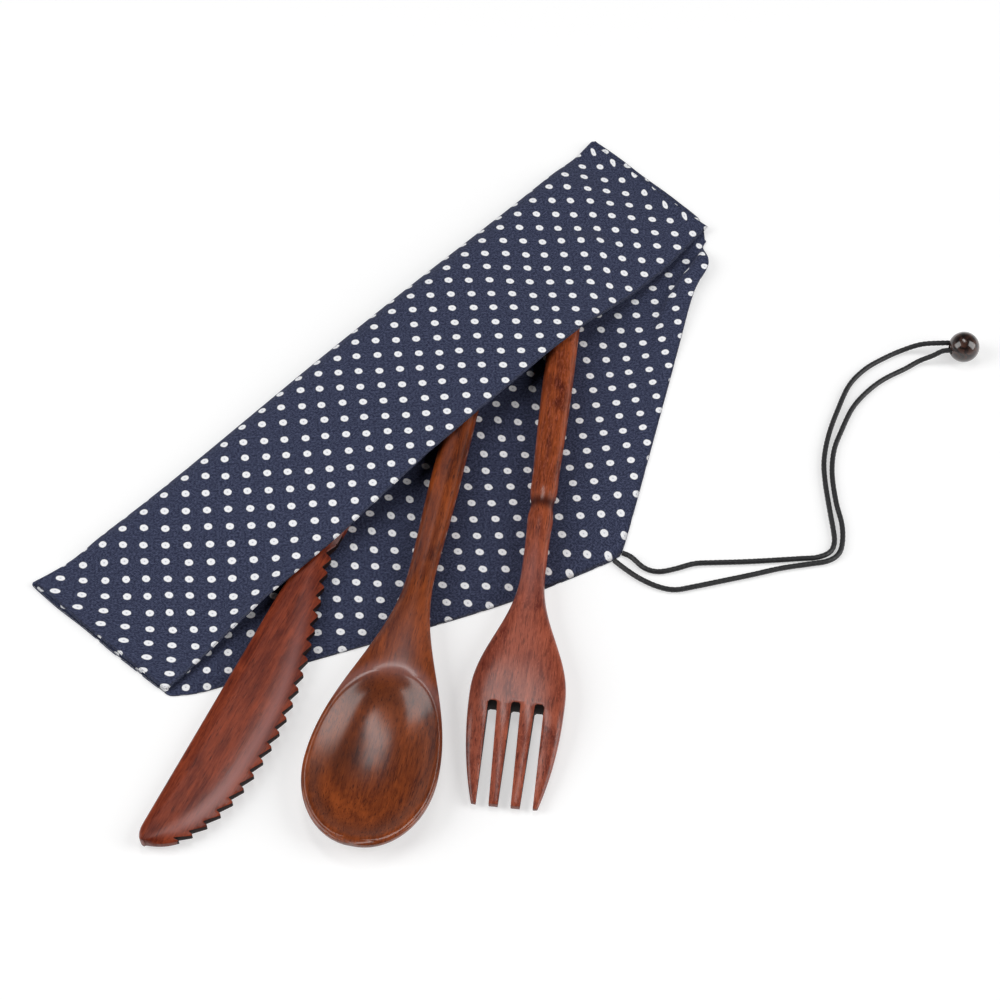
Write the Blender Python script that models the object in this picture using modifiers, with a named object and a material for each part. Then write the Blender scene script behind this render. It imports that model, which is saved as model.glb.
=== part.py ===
"""Wooden cutlery pack: a knife, a spoon and a fork with their handles in a folded cloth pouch.

The pouch lies open on the table. Its long fold is at the back, its opening faces -Y, and the
three-cornered flap of its back layer lies flat in front, with two cords sewn into the point and
a bead on their ends. Metres, +Z up. The table is z = 0.
"""

import math

import bmesh
import bpy
import numpy as np
from mathutils import Vector

# Cloth: two layers of printed cotton sewn together, and the play that touching pieces keep.
CLOTH = 0.0010
PLAY = 0.0003

# Pouch, seen from above: the fold runs along X at FOLD_Y and the opening faces -Y.
POUCH_MIDDLE_X = 0.0181
FOLD_Y = 0.0826
POUCH_LENGTH = 0.2545
POUCH_DEPTH = 0.0579
END_DRAW = 0.0024
FOLD_DRAW = 0.0030
FLAP_REACH = 0.0652
FLAP_POINT_X = 0.0218
FLAP_LEFT_RUN = 0.1334
FLAP_LEFT_SLOPE = 0.530
FLAP_BLUNT_SLOPE = 0.370
FLAP_RIGHT_RUN = 0.1170
FLAP_POINT_ROUND = 0.0020
FLAP_CORNER_ROUND = 0.0080
FLAP_LIP = 0.0006
SEAM_WIDTH = 0.0050
SEAM_INSET = 0.0003
STRIPS = 48
END_RISE = 0.0200

# How high the front layer stands over the handles, and how deep its soft fold is.
OPENING_LIFT = 0.0088
REAR_LIFT = 0.0068
FOLD_ROLL = 0.0085
RIDGE_FALL = 0.40
RIDGE_SPREAD = 0.0018
RIDGE_BLEND = 0.0008

# Spoon.
SPOON_LENGTH = 0.2245
SPOON_HANDLE_WIDTH = 0.0096
SPOON_HANDLE_THICKNESS = 0.0082
SPOON_END_THICKNESS = 0.0050
SPOON_NECK_WIDTH = 0.0084
NECK_GROWTH = 0.0350
BOWL_WIDTH = 0.0394
BOWL_FRONT = 0.0248
BOWL_FLARE = 0.0710
BOWL_RIM_HEIGHT = 0.0092
BOWL_LIP = 0.0016
HOLLOW_LENGTH = 0.0546
HOLLOW_DEPTH = 0.0064
HOLLOW_RIM = 0.0020
HOLLOW_DEEPEST = 0.0300
HOLLOW_LEAST = 0.0008
BOWL_ROUNDNESS = 2.05
RIM_DIP = 0.0005
RIM_SHARE = 0.985
CROWN_SHARE = 0.60

# Fork.
FORK_LENGTH = 0.2112
FORK_HANDLE_WIDTH = 0.0098
FORK_HANDLE_THICKNESS = 0.0080
FORK_END_THICKNESS = 0.0050
FORK_NECK_WIDTH = 0.0073
FORK_NECK_GROWTH = 0.0750
FORK_HEAD_WIDTH = 0.0284
FORK_HEAD_FRONT = 0.0345
FORK_FLARE = 0.0470
FORK_TIP_TAPER = 0.32
FORK_TINES = 4
SLOT_LENGTH = 0.0312
SLOT_ROOT_WIDTH = 0.0027
SLOT_MOUTH_WIDTH = 0.0038
SLOT_PITCH = 0.0069
SLOT_LEAN = 0.92
RING_FROM_TIP = 0.1037
RING_WIDTH = 0.0060
RING_DEPTH = 0.0005
RING_LIP = 0.0002

# Knife.
KNIFE_LENGTH = 0.2086
KNIFE_THICKNESS = 0.0040
KNIFE_HANDLE_WIDTH = 0.0084
BLADE_LENGTH = 0.1120
BLADE_WIDTH = 0.0223
BLADE_BELLY_FROM_TIP = 0.0435
BEVEL_WIDTH = 0.0065
BEVEL_EDGE = 0.0018
BEVEL_START = 0.0120
BLADE_LEAST = 0.0012
HANDLE_EDGE = 0.0024
BACK_EASE = 0.0011
KNIFE_NOSE = 0.0050
NOSE_TURN = 0.55
TOOTH_PITCH = 0.0052
TOOTH_DEPTH = 0.0019
TOOTH_PEAK = 0.78
TOOTH_DROP = 0.94
TEETH_FROM_TIP = 0.0045

# How far a cutter reaches past what it cuts.
CUT_CLEAR = 0.0020

# Where each handle's end lies in the pouch: X, the distance from the fold, and the way it points.
SPOON_END_X = 0.0829
SPOON_END_INSET = 0.0160
SPOON_ANGLE = math.radians(212.5)
FORK_END_X = 0.1031
FORK_END_INSET = 0.0306
FORK_ANGLE = math.radians(216.9)
KNIFE_END_X = 0.0516
KNIFE_END_INSET = 0.0228
KNIFE_ANGLE = math.radians(199.6)

# Cords and bead.
CORD_DIAMETER = 0.0017
CORD_POINTS = 38
CORD_SPACING = 0.0032
BEAD_DIAMETER = 0.0100
BEAD_X = 0.1586
BEAD_Y = -0.0693
BORE_DEPTH = 0.0032
BORE_ANGLE = math.radians(133.0)

SEAT = CLOTH + PLAY
OPENING_Y = FOLD_Y - POUCH_DEPTH
POUCH_HALF = POUCH_LENGTH / 2
LAYER_LOW = 1.5 * CLOTH + 0.00015
CORD_HEIGHT = CORD_DIAMETER / 2 + 0.0001
BEAD_HEIGHT = BEAD_DIAMETER / 2
HOLLOW_END = HOLLOW_RIM + HOLLOW_LENGTH

# Along half the pouch's length, from its left end to its right one: the share of the lift
# that the front layer keeps at the opening, and just in front of the fold.
OPENING_SHAPE = (
    (-1.00, 0.00), (-0.73, 0.02), (-0.61, 0.22), (-0.45, 0.45), (-0.10, 0.95),
    (0.10, 1.00), (0.34, 0.98), (0.48, 0.68), (0.70, 0.14), (1.00, 0.00),
)
REAR_SHAPE = (
    (-1.00, 0.05), (-0.94, 0.12), (-0.86, 0.62), (-0.75, 0.82), (-0.40, 0.88), (0.00, 1.00),
    (0.25, 1.08), (0.50, 1.02), (0.70, 0.86), (0.85, 0.64), (0.95, 0.35), (1.00, 0.08),
)
# How much of FOLD_DRAW the fold is drawn in by, along the same length.
DRAW_SHAPE = (
    (-1.00, 0.00), (-0.94, 0.55), (-0.85, 1.15), (-0.60, 1.40), (-0.30, 1.25), (0.00, 1.10),
    (0.40, 1.05), (0.70, 0.85), (0.90, 0.55), (1.00, 0.05),
)

# Heights along the spoon by distance from its tip: underside, widest line and top.
SPOON_HEIGHTS = (
    (0.0000, 0.0072, 0.0080, 0.0086),
    (0.0248, 0.0003, 0.0092, 0.0092),
    (0.0400, 0.0004, 0.0093, 0.0093),
    (0.0520, 0.0012, 0.0090, 0.0094),
    (0.0640, 0.0021, 0.0080, 0.0095),
    (0.0780, 0.0024, 0.0064, 0.0092),
    (0.0960, 0.0020, 0.0054, 0.0088),
    (0.1180, 0.0013, 0.0052, 0.0092),
    (0.1400, 0.0013, 0.0054, 0.0095),
)

# The same for the fork.
FORK_HEIGHTS = (
    (0.0000, 0.0012, 0.0021, 0.0030),
    (0.0150, 0.0018, 0.0038, 0.0056),
    (0.0300, 0.0024, 0.0054, 0.0082),
    (0.0480, 0.0026, 0.0060, 0.0090),
    (0.0700, 0.0022, 0.0057, 0.0090),
    (0.0900, 0.0015, 0.0051, 0.0087),
    (0.1180, 0.0013, 0.0051, 0.0089),
    (0.1400, 0.0013, 0.0053, 0.0093),
)

# The two cords' routes, from the flap's point to just before the bead.
UPPER_CORD_ROUTE = (
    (0.0235, -0.0406, CORD_HEIGHT), (0.0243, -0.0435, CORD_HEIGHT), (0.0240, -0.0491, CORD_HEIGHT),
    (0.0259, -0.0532, CORD_HEIGHT), (0.0303, -0.0563, CORD_HEIGHT), (0.0358, -0.0593, CORD_HEIGHT),
    (0.0401, -0.0633, CORD_HEIGHT), (0.0465, -0.0696, CORD_HEIGHT), (0.0527, -0.0754, CORD_HEIGHT),
    (0.0594, -0.0815, CORD_HEIGHT), (0.0638, -0.0854, CORD_HEIGHT), (0.0681, -0.0870, CORD_HEIGHT),
    (0.0717, -0.0857, CORD_HEIGHT), (0.0750, -0.0827, CORD_HEIGHT), (0.0793, -0.0780, CORD_HEIGHT),
    (0.0878, -0.0690, CORD_HEIGHT), (0.0946, -0.0631, CORD_HEIGHT), (0.1034, -0.0580, CORD_HEIGHT),
    (0.1133, -0.0538, CORD_HEIGHT), (0.1232, -0.0504, CORD_HEIGHT), (0.1318, -0.0500, CORD_HEIGHT),
    (0.1395, -0.0516, CORD_HEIGHT), (0.1462, -0.0541, 0.0014), (0.1512, -0.0580, 0.0034),
)
LOWER_CORD_ROUTE = (
    (0.0197, -0.0406, CORD_HEIGHT), (0.0197, -0.0451, CORD_HEIGHT), (0.0202, -0.0509, CORD_HEIGHT),
    (0.0218, -0.0568, CORD_HEIGHT), (0.0245, -0.0613, CORD_HEIGHT), (0.0294, -0.0648, CORD_HEIGHT),
    (0.0371, -0.0698, CORD_HEIGHT), (0.0447, -0.0747, CORD_HEIGHT), (0.0529, -0.0798, CORD_HEIGHT),
    (0.0602, -0.0852, CORD_HEIGHT), (0.0648, -0.0885, CORD_HEIGHT), (0.0690, -0.0894, CORD_HEIGHT),
    (0.0733, -0.0876, CORD_HEIGHT), (0.0786, -0.0832, CORD_HEIGHT), (0.0841, -0.0764, CORD_HEIGHT),
    (0.0917, -0.0687, CORD_HEIGHT), (0.0992, -0.0634, CORD_HEIGHT), (0.1066, -0.0603, CORD_HEIGHT),
    (0.1163, -0.0571, CORD_HEIGHT), (0.1246, -0.0563, CORD_HEIGHT), (0.1326, -0.0570, CORD_HEIGHT),
    (0.1411, -0.0594, CORD_HEIGHT), (0.1465, -0.0609, 0.0014), (0.1500, -0.0636, 0.0034),
)


def clear_scene():
    for obj in list(bpy.data.objects):
        bpy.data.objects.remove(obj, do_unlink=True)


def new_collection(name):
    group = bpy.data.collections.new(name)
    bpy.context.scene.collection.children.link(group)
    return group


def surface(name, colour, roughness):
    """A plain finish for one kind of piece."""
    material = bpy.data.materials.new(name)
    material.use_nodes = True
    shader = material.node_tree.nodes["Principled BSDF"]
    shader.inputs["Base Color"].default_value = (*colour, 1.0)
    shader.inputs["Roughness"].default_value = roughness
    shader.inputs["Metallic"].default_value = 0.0
    return material


def smoothstep(value):
    value = min(max(value, 0.0), 1.0)
    return value * value * (3 - 2 * value)


def soft_max(first, second, blend):
    return (first + second + math.hypot(first - second, blend)) / 2


def through(points, at, column=1):
    """A smooth curve through the points that never swings past them, read at one place."""
    places = [point[0] for point in points]
    values = [point[column] for point in points]
    if at <= places[0]:
        return values[0]
    if at >= places[-1]:
        return values[-1]
    steps = [(values[i + 1] - values[i]) / (places[i + 1] - places[i]) for i in range(len(points) - 1)]
    slopes = [steps[0]]
    for before, after in zip(steps, steps[1:]):
        slopes.append(2 * before * after / (before + after) if before * after > 0 else 0.0)
    slopes.append(steps[-1])
    i = max(k for k in range(len(points) - 1) if places[k] <= at)
    span = places[i + 1] - places[i]
    t = (at - places[i]) / span
    return (
        values[i] * (1 + 2 * t) * (1 - t) ** 2
        + slopes[i] * span * t * (1 - t) ** 2
        + values[i + 1] * t * t * (3 - 2 * t)
        + slopes[i + 1] * span * t * t * (t - 1)
    )


class Laid:
    """Where one utensil lies: the middle of its handle's end, and the way it points."""

    def __init__(self, end_x, end_inset, angle, length):
        self.end = (end_x, FOLD_Y - end_inset)
        self.along = (math.cos(angle), math.sin(angle))
        self.across = (-self.along[1], self.along[0])
        self.length = length

    def place(self, from_tip, aside, height):
        far = self.length - from_tip
        return (
            self.end[0] + far * self.along[0] + aside * self.across[0],
            self.end[1] + far * self.along[1] + aside * self.across[1],
            height,
        )

    def locate(self, x, y):
        """Distance from the handle's end along the utensil, and distance aside."""
        dx, dy = x - self.end[0], y - self.end[1]
        return dx * self.along[0] + dy * self.along[1], dx * self.across[0] + dy * self.across[1]


SPOON = Laid(SPOON_END_X, SPOON_END_INSET, SPOON_ANGLE, SPOON_LENGTH)
FORK = Laid(FORK_END_X, FORK_END_INSET, FORK_ANGLE, FORK_LENGTH)
KNIFE = Laid(KNIFE_END_X, KNIFE_END_INSET, KNIFE_ANGLE, KNIFE_LENGTH)


def mesh_object(name, points, faces, material, group, smooth=True):
    mesh = bpy.data.meshes.new(name)
    mesh.from_pydata(points, [], faces)
    mesh.update()
    work = bmesh.new()
    work.from_mesh(mesh)
    bmesh.ops.recalc_face_normals(work, faces=work.faces)
    work.to_mesh(mesh)
    work.free()
    obj = bpy.data.objects.new(name, mesh)
    if material:
        mesh.materials.append(material)
    group.objects.link(obj)
    if smooth:
        mesh.shade_smooth()
        mesh.set_sharp_from_angle(angle=math.radians(40))
    return obj


def loft(name, rings, material, group):
    """One closed body through a row of rings that have the same number of points."""
    count = len(rings[0])
    points = [point for ring in rings for point in ring]
    faces = []
    for i in range(len(rings) - 1):
        for j in range(count):
            k = (j + 1) % count
            faces.append((i * count + j, i * count + k, (i + 1) * count + k, (i + 1) * count + j))
    faces.append(tuple(reversed(range(count))))
    faces.append(tuple(range((len(rings) - 1) * count, len(rings) * count)))
    return mesh_object(name, points, faces, material, group)


def prism(name, outline, low, high, group):
    """A cutter: a closed flat outline, from low to high."""
    count = len(outline)
    points = [(x, y, low) for x, y in outline] + [(x, y, high) for x, y in outline]
    faces = [(j, (j + 1) % count, (j + 1) % count + count, j + count) for j in range(count)]
    faces.append(tuple(reversed(range(count))))
    faces.append(tuple(range(count, 2 * count)))
    cutter = mesh_object(name, points, faces, None, group, smooth=False)
    cutter.hide_render = True
    cutter.display_type = "WIRE"
    return cutter


def cut(target, cutter):
    step = target.modifiers.new(cutter.name, "BOOLEAN")
    step.operation = "DIFFERENCE"
    step.solver = "EXACT"
    step.object = cutter


def handle_thickness(from_end, thickness, end_thickness):
    """A handle thins towards its end, over the stretch that the pouch holds."""
    return end_thickness + (thickness - end_thickness) * smoothstep(from_end / POUCH_DEPTH)


def rounded_end(from_end, half):
    """The share of its full section that a handle has near its rounded end."""
    if from_end >= half:
        return 1.0
    return math.sqrt(max(1 - (1 - from_end / half) ** 2, 0.0))


def end_stations(half):
    """Distances from a handle's end that follow its round."""
    return [half * (1 - math.cos(math.radians(a))) for a in (12, 35, 60, 90)]


def spoon_half_width(from_tip):
    neck = SPOON_NECK_WIDTH / 2
    wide = BOWL_WIDTH / 2
    if from_tip <= BOWL_FRONT:
        share = 1 - from_tip / BOWL_FRONT
        return wide * (1 - share**BOWL_ROUNDNESS) ** (1 / BOWL_ROUNDNESS)
    behind = (from_tip - BOWL_FRONT) / BOWL_FLARE
    if behind < 1:
        return neck + (wide - neck) * math.cos(behind * math.pi / 2) ** 2.2
    grow = smoothstep((behind - 1) * BOWL_FLARE / NECK_GROWTH)
    return neck + (SPOON_HANDLE_WIDTH / 2 - neck) * grow


def hollow_half(from_tip, half_width):
    """Half the width of the hollow, whose outline lies a rim's width inside the bowl's own."""
    if from_tip >= HOLLOW_END:
        opening = smoothstep((from_tip - HOLLOW_END) / BOWL_FRONT)
        return HOLLOW_LEAST + (CROWN_SHARE * half_width - HOLLOW_LEAST) * opening
    if from_tip <= HOLLOW_RIM:
        return min(HOLLOW_LEAST, half_width / 2)
    if from_tip <= BOWL_FRONT:
        share = 1 - (from_tip - HOLLOW_RIM) / (BOWL_FRONT - HOLLOW_RIM)
        closing = (1 - share**BOWL_ROUNDNESS) ** (1 / BOWL_ROUNDNESS)
        return max((BOWL_WIDTH / 2 - HOLLOW_RIM) * closing, HOLLOW_LEAST)
    share = (from_tip - BOWL_FRONT) / (HOLLOW_END - BOWL_FRONT)
    return max((half_width - HOLLOW_RIM) * (1 - share**6) ** 0.5, HOLLOW_LEAST)


def hollow_depth(from_tip, aside, half):
    """Depth of the hollow at one place: a long slope in front and a steep wall at the neck."""
    if from_tip <= HOLLOW_RIM or from_tip >= HOLLOW_END:
        return 0.0
    if from_tip < HOLLOW_DEEPEST:
        closing = (1 - ((HOLLOW_DEEPEST - from_tip) / (HOLLOW_DEEPEST - HOLLOW_RIM)) ** 2) ** 0.8
    else:
        closing = (1 - ((from_tip - HOLLOW_DEEPEST) / (HOLLOW_END - HOLLOW_DEEPEST)) ** 2.6) ** 0.55
    share = min(abs(aside) / half, 1.0)
    return HOLLOW_DEPTH * closing * (1 - share**2.4) ** 0.6


def spoon_heights(from_tip):
    """Heights of the underside, the widest line and the top, and how far the rim's side drops."""
    low, edge, top = (through(SPOON_HEIGHTS, from_tip, column) for column in (1, 2, 3))
    if from_tip < BOWL_FRONT:
        steep = (1 - (1 - from_tip / BOWL_FRONT) ** 2.2) ** 0.5
        low = BOWL_RIM_HEIGHT - BOWL_LIP - (BOWL_RIM_HEIGHT - BOWL_LIP - PLAY) * steep
        edge = top = BOWL_RIM_HEIGHT - RIM_DIP * (1 - from_tip / BOWL_FRONT)
    elif from_tip > SPOON_HEIGHTS[-1][0]:
        thick = handle_thickness(SPOON_LENGTH - from_tip, SPOON_HANDLE_THICKNESS, SPOON_END_THICKNESS)
        low, edge, top = SEAT, SEAT + thick / 2, SEAT + thick
    lip = BOWL_LIP * (1 - smoothstep((from_tip - HOLLOW_LENGTH) / BOWL_FRONT))
    return low, edge, top, lip


def spoon_top_places(hollow, half):
    """Distances aside over the top: across the rim, over the hollow and across the other rim."""
    rim = [RIM_SHARE * half + (hollow - RIM_SHARE * half) * k / 3 for k in range(3)]
    inside = [hollow * math.cos(math.pi * k / 12) for k in range(13)]
    return rim + inside + [-aside for aside in reversed(rim)]


def spoon_ring(from_tip):
    """The spoon's section: the underside from one edge to the other, then back over the top."""
    from_end = SPOON_LENGTH - from_tip
    half = spoon_half_width(from_tip)
    low, edge, top, lip = spoon_heights(from_tip)
    if from_end < SPOON_HANDLE_WIDTH / 2:
        share = rounded_end(from_end, SPOON_HANDLE_WIDTH / 2)
        half *= share
        low, top = edge - (edge - low) * share, edge + (top - edge) * share
    ring = []
    for k in range(13):
        turn = math.pi * k / 12
        sink = (edge - lip - low) * math.sin(turn)
        ring.append((-half * math.cos(turn), edge - lip - sink))
    hollow = hollow_half(from_tip, half)
    for aside in spoon_top_places(hollow, half):
        crown = (top - edge) * math.sqrt(1 - (aside / half) ** 2)
        ring.append((aside, edge + crown - hollow_depth(from_tip, aside, hollow)))
    return [SPOON.place(from_tip, aside, height) for aside, height in ring]


def add_spoon(material, group):
    front = [BOWL_FRONT * (1 - math.cos(math.radians(a))) for a in (6, 13, 20, 24, 28, 33, 40, 50, 62, 76, 90)]
    behind = [BOWL_FRONT + (HOLLOW_END - BOWL_FRONT) * math.sin(math.radians(10 * k)) for k in range(1, 10)]
    shoulder_end = SPOON_HEIGHTS[-1][0]
    shoulder = [HOLLOW_END + (shoulder_end - HOLLOW_END) * k / 14 for k in range(1, 15)]
    last = SPOON_LENGTH - SPOON_HANDLE_WIDTH / 2
    handle = [shoulder_end + (last - shoulder_end) * k / 6 for k in range(1, 6)]
    end = [SPOON_LENGTH - d for d in reversed(end_stations(SPOON_HANDLE_WIDTH / 2))]
    stations = front + behind + shoulder + handle + end
    return loft("spoon", [spoon_ring(d) for d in stations], material, group)


def fork_half_width(from_tip):
    neck = FORK_NECK_WIDTH / 2
    wide = FORK_HEAD_WIDTH / 2
    if from_tip <= FORK_HEAD_FRONT:
        share = 1 - from_tip / FORK_HEAD_FRONT
        return wide * (1 - FORK_TIP_TAPER * share**2.2)
    behind = (from_tip - FORK_HEAD_FRONT) / FORK_FLARE
    if behind < 1:
        return neck + (wide - neck) * math.cos(behind * math.pi / 2) ** 2.7
    grow = smoothstep((behind - 1) * FORK_FLARE / FORK_NECK_GROWTH)
    half = neck + (FORK_HANDLE_WIDTH / 2 - neck) * grow
    return half - ring_groove(from_tip)


def ring_groove(from_tip):
    """The turned ring on the fork's handle: a groove with a small raised lip on either side."""
    place = (from_tip - RING_FROM_TIP) / (RING_WIDTH / 2)
    groove = RING_DEPTH * math.exp(-(place**2))
    lip = RING_LIP * math.exp(-((abs(place) - 2) ** 2))
    return groove - lip


def squircle(turn, power):
    across, up = math.cos(turn), math.sin(turn)
    return (
        math.copysign(abs(across) ** (2 / power), across),
        math.copysign(abs(up) ** (2 / power), up),
    )


def fork_ring(from_tip):
    from_end = FORK_LENGTH - from_tip
    half = fork_half_width(from_tip)
    low, edge, top = (through(FORK_HEIGHTS, from_tip, column) for column in (1, 2, 3))
    if from_tip > FORK_HEIGHTS[-1][0]:
        thick = handle_thickness(from_end, FORK_HANDLE_THICKNESS, FORK_END_THICKNESS)
        low, edge, top = SEAT, SEAT + thick / 2, SEAT + thick
    low += max(ring_groove(from_tip), 0.0)
    top -= ring_groove(from_tip)
    if from_end < FORK_HANDLE_WIDTH / 2:
        share = rounded_end(from_end, FORK_HANDLE_WIDTH / 2)
        half *= share
        low, top = edge - (edge - low) * share, edge + (top - edge) * share
    power = 2.2 + 2.0 * (1 - smoothstep((from_tip - FORK_HEAD_FRONT) / FORK_FLARE))
    ring = []
    for k in range(20):
        across, up = squircle(2 * math.pi * (k + 0.5) / 20, power)
        height = edge + up * ((top - edge) if up > 0 else (edge - low))
        ring.append(FORK.place(from_tip, half * across, height))
    return ring


def add_fork(material, group, cutters):
    tines = [FORK_HEAD_FRONT * k / 9 for k in range(10)]
    flare = [FORK_HEAD_FRONT + FORK_FLARE * k / 11 for k in range(1, 12)]
    flare_end = FORK_HEAD_FRONT + FORK_FLARE
    ring = [RING_FROM_TIP + RING_WIDTH * k / 4 for k in range(-5, 6)]
    last = FORK_LENGTH - FORK_HANDLE_WIDTH / 2
    between = [flare_end + (ring[0] - flare_end) * k / 3 for k in (1, 2)]
    handle = [ring[-1] + (last - ring[-1]) * k / 9 for k in range(1, 9)]
    end = [FORK_LENGTH - d for d in reversed(end_stations(FORK_HANDLE_WIDTH / 2))]
    stations = tines + flare + between + ring + handle + end
    fork = loft("fork", [fork_ring(d) for d in stations], material, group)
    for i in range(FORK_TINES - 1):
        aside = (i - (FORK_TINES - 2) / 2) * SLOT_PITCH
        inward = SLOT_LEAN * aside
        root, mouth = SLOT_ROOT_WIDTH / 2, SLOT_MOUTH_WIDTH / 2
        corners = (
            (SLOT_LENGTH - root * 0.4, aside - root), (SLOT_LENGTH, aside - root * 0.6),
            (SLOT_LENGTH, aside + root * 0.6), (SLOT_LENGTH - root * 0.4, aside + root),
            (-CUT_CLEAR, inward + mouth), (-CUT_CLEAR, inward - mouth),
        )
        outline = [FORK.place(d, v, 0.0)[:2] for d, v in corners]
        cut(fork, prism(f"slot_cutter_{i + 1}", outline, -CUT_CLEAR, 2 * FORK_HANDLE_THICKNESS, cutters))
    return fork


def blade_width(from_tip):
    """Distance from the knife's back to its cutting edge, before the teeth are cut."""
    if from_tip <= BLADE_BELLY_FROM_TIP:
        share = 1 - from_tip / BLADE_BELLY_FROM_TIP
        return BLADE_WIDTH * (1 - share**2.4) ** 0.42
    if from_tip >= BLADE_LENGTH:
        return KNIFE_HANDLE_WIDTH
    share = (BLADE_LENGTH - from_tip) / (BLADE_LENGTH - BLADE_BELLY_FROM_TIP)
    return KNIFE_HANDLE_WIDTH + (BLADE_WIDTH - KNIFE_HANDLE_WIDTH) * math.sin(share * math.pi / 2) ** 1.25


def knife_back(from_tip):
    """How far the knife's straight back turns in at the rounded tip."""
    if from_tip >= KNIFE_NOSE:
        return 0.0
    return KNIFE_NOSE * NOSE_TURN * (1 - math.sqrt(1 - (1 - from_tip / KNIFE_NOSE) ** 2))


def knife_ring(from_tip):
    from_end = KNIFE_LENGTH - from_tip
    back = knife_back(from_tip)
    width = max(blade_width(from_tip), back + BLADE_LEAST)
    blade = smoothstep((BLADE_LENGTH + BEVEL_START / 2 - from_tip) / BEVEL_START)
    bevel = BLADE_LEAST + (min(BEVEL_WIDTH, 0.45 * (width - back)) - BLADE_LEAST) * blade
    edge = HANDLE_EDGE + (BEVEL_EDGE - HANDLE_EDGE) * blade
    if from_end < KNIFE_HANDLE_WIDTH / 2:
        share = rounded_end(from_end, KNIFE_HANDLE_WIDTH / 2)
        middle = KNIFE_HANDLE_WIDTH / 2
        back, width = middle - middle * share, middle + middle * share
        bevel = min(bevel, 0.3 * (width - back))
    low, high = SEAT, SEAT + KNIFE_THICKNESS
    ease = min(BACK_EASE, 0.3 * (width - back))
    low_edge = low + (KNIFE_THICKNESS - edge) * 0.45
    section = (
        (back + ease, low), (width - bevel, low), (width, low_edge), (width, low_edge + edge),
        (width - bevel, high), (back + ease, high), (back + 0.3 * ease, high - 0.6 * ease),
        (back, high - 1.5 * ease), (back, low + 1.5 * ease), (back + 0.3 * ease, low + 0.6 * ease),
    )
    half_handle = KNIFE_HANDLE_WIDTH / 2
    return [KNIFE.place(from_tip, across - half_handle, height) for across, height in section]


def edge_step(from_tip, distance):
    """The place a distance further along the cutting edge."""
    probe = TOOTH_PITCH / 10
    slope = (blade_width(from_tip + probe) - blade_width(from_tip)) / probe
    return from_tip + distance / math.hypot(1.0, slope)


def edge_walk(step):
    """Places along the knife's cutting edge, an equal distance apart, from the tip to the handle."""
    walked = [TEETH_FROM_TIP]
    while walked[-1] < BLADE_LENGTH:
        walked.append(edge_step(walked[-1], step))
    return walked[:-1]


def add_teeth_cutter(cutters):
    """The waste between the teeth: each tooth rises slowly from the tip side and drops steeply."""
    saw = []
    for from_tip in edge_walk(TOOTH_PITCH):
        peak = edge_step(from_tip, TOOTH_PEAK * TOOTH_PITCH)
        drop = edge_step(from_tip, TOOTH_DROP * TOOTH_PITCH)
        saw.append((from_tip, blade_width(from_tip) - TOOTH_DEPTH))
        saw.append((peak, blade_width(peak) + 0.1 * TOOTH_DEPTH))
        saw.append((drop, blade_width(drop) - 0.2 * TOOTH_DEPTH))
    clear = BLADE_WIDTH + BEVEL_WIDTH
    outline = [(TEETH_FROM_TIP, clear), *saw, (saw[-1][0], saw[-1][1] + TOOTH_DEPTH), (saw[-1][0], clear)]
    half_handle = KNIFE_HANDLE_WIDTH / 2
    flat = [KNIFE.place(d, across - half_handle, 0.0)[:2] for d, across in outline]
    return prism("teeth_cutter", flat, -CUT_CLEAR, 2 * KNIFE_THICKNESS + CUT_CLEAR, cutters)


def add_knife(material, group, cutters):
    belly = BLADE_BELLY_FROM_TIP
    front = [belly * (1 - math.cos(math.radians(a))) for a in (3, 8, 14, 20, 28, 37, 47, 58, 70, 80, 90)]
    blade_end = BLADE_LENGTH + BEVEL_START / 2
    middle = [belly + (blade_end - belly) * k / 12 for k in range(1, 13)]
    last = KNIFE_LENGTH - KNIFE_HANDLE_WIDTH / 2
    handle = [middle[-1] + (last - middle[-1]) * k / 4 for k in range(1, 4)]
    end = [KNIFE_LENGTH - d for d in reversed(end_stations(KNIFE_HANDLE_WIDTH / 2))]
    knife = loft("knife", [knife_ring(d) for d in front + middle + handle + end], material, group)
    cut(knife, add_teeth_cutter(cutters))
    return knife


def ridge(x, y, laid, half, thickness, end_thickness):
    """How high one handle holds the middle of the front layer at a place in the pouch."""
    along, aside = laid.locate(x, y)
    thick = handle_thickness(along, thickness, end_thickness)
    away = max(abs(aside) - half - RIDGE_SPREAD, 0.0) + max(-along - RIDGE_SPREAD, 0.0)
    return SEAT + thick + PLAY + CLOTH / 2 - RIDGE_FALL * away


def fold_line(place):
    """Where the fold lies: it is drawn in towards the opening where the cloth stands tall."""
    return FOLD_Y - FOLD_DRAW * through(DRAW_SHAPE, place)


def front_height(x, y):
    """Height of the middle of the front layer above the table."""
    place = (x - POUCH_MIDDLE_X) / POUCH_HALF
    toward_opening = (FOLD_Y - y) / POUCH_DEPTH
    rear = REAR_LIFT * through(REAR_SHAPE, place)
    front = OPENING_LIFT * through(OPENING_SHAPE, place)
    height = LAYER_LOW + rear + (front - rear) * toward_opening
    handles = (
        (SPOON, SPOON_HANDLE_WIDTH / 2, SPOON_HANDLE_THICKNESS, SPOON_END_THICKNESS),
        (FORK, FORK_HANDLE_WIDTH / 2, FORK_HANDLE_THICKNESS, FORK_END_THICKNESS),
        (KNIFE, KNIFE_HANDLE_WIDTH / 2, KNIFE_THICKNESS, KNIFE_THICKNESS),
    )
    for handle in handles:
        height = soft_max(height, ridge(x, y, *handle), RIDGE_BLEND)
    from_side = POUCH_HALF - abs(x - POUCH_MIDDLE_X)
    rise = smoothstep((from_side - SEAM_WIDTH) / END_RISE)
    return LAYER_LOW + (height - LAYER_LOW) * rise


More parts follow.
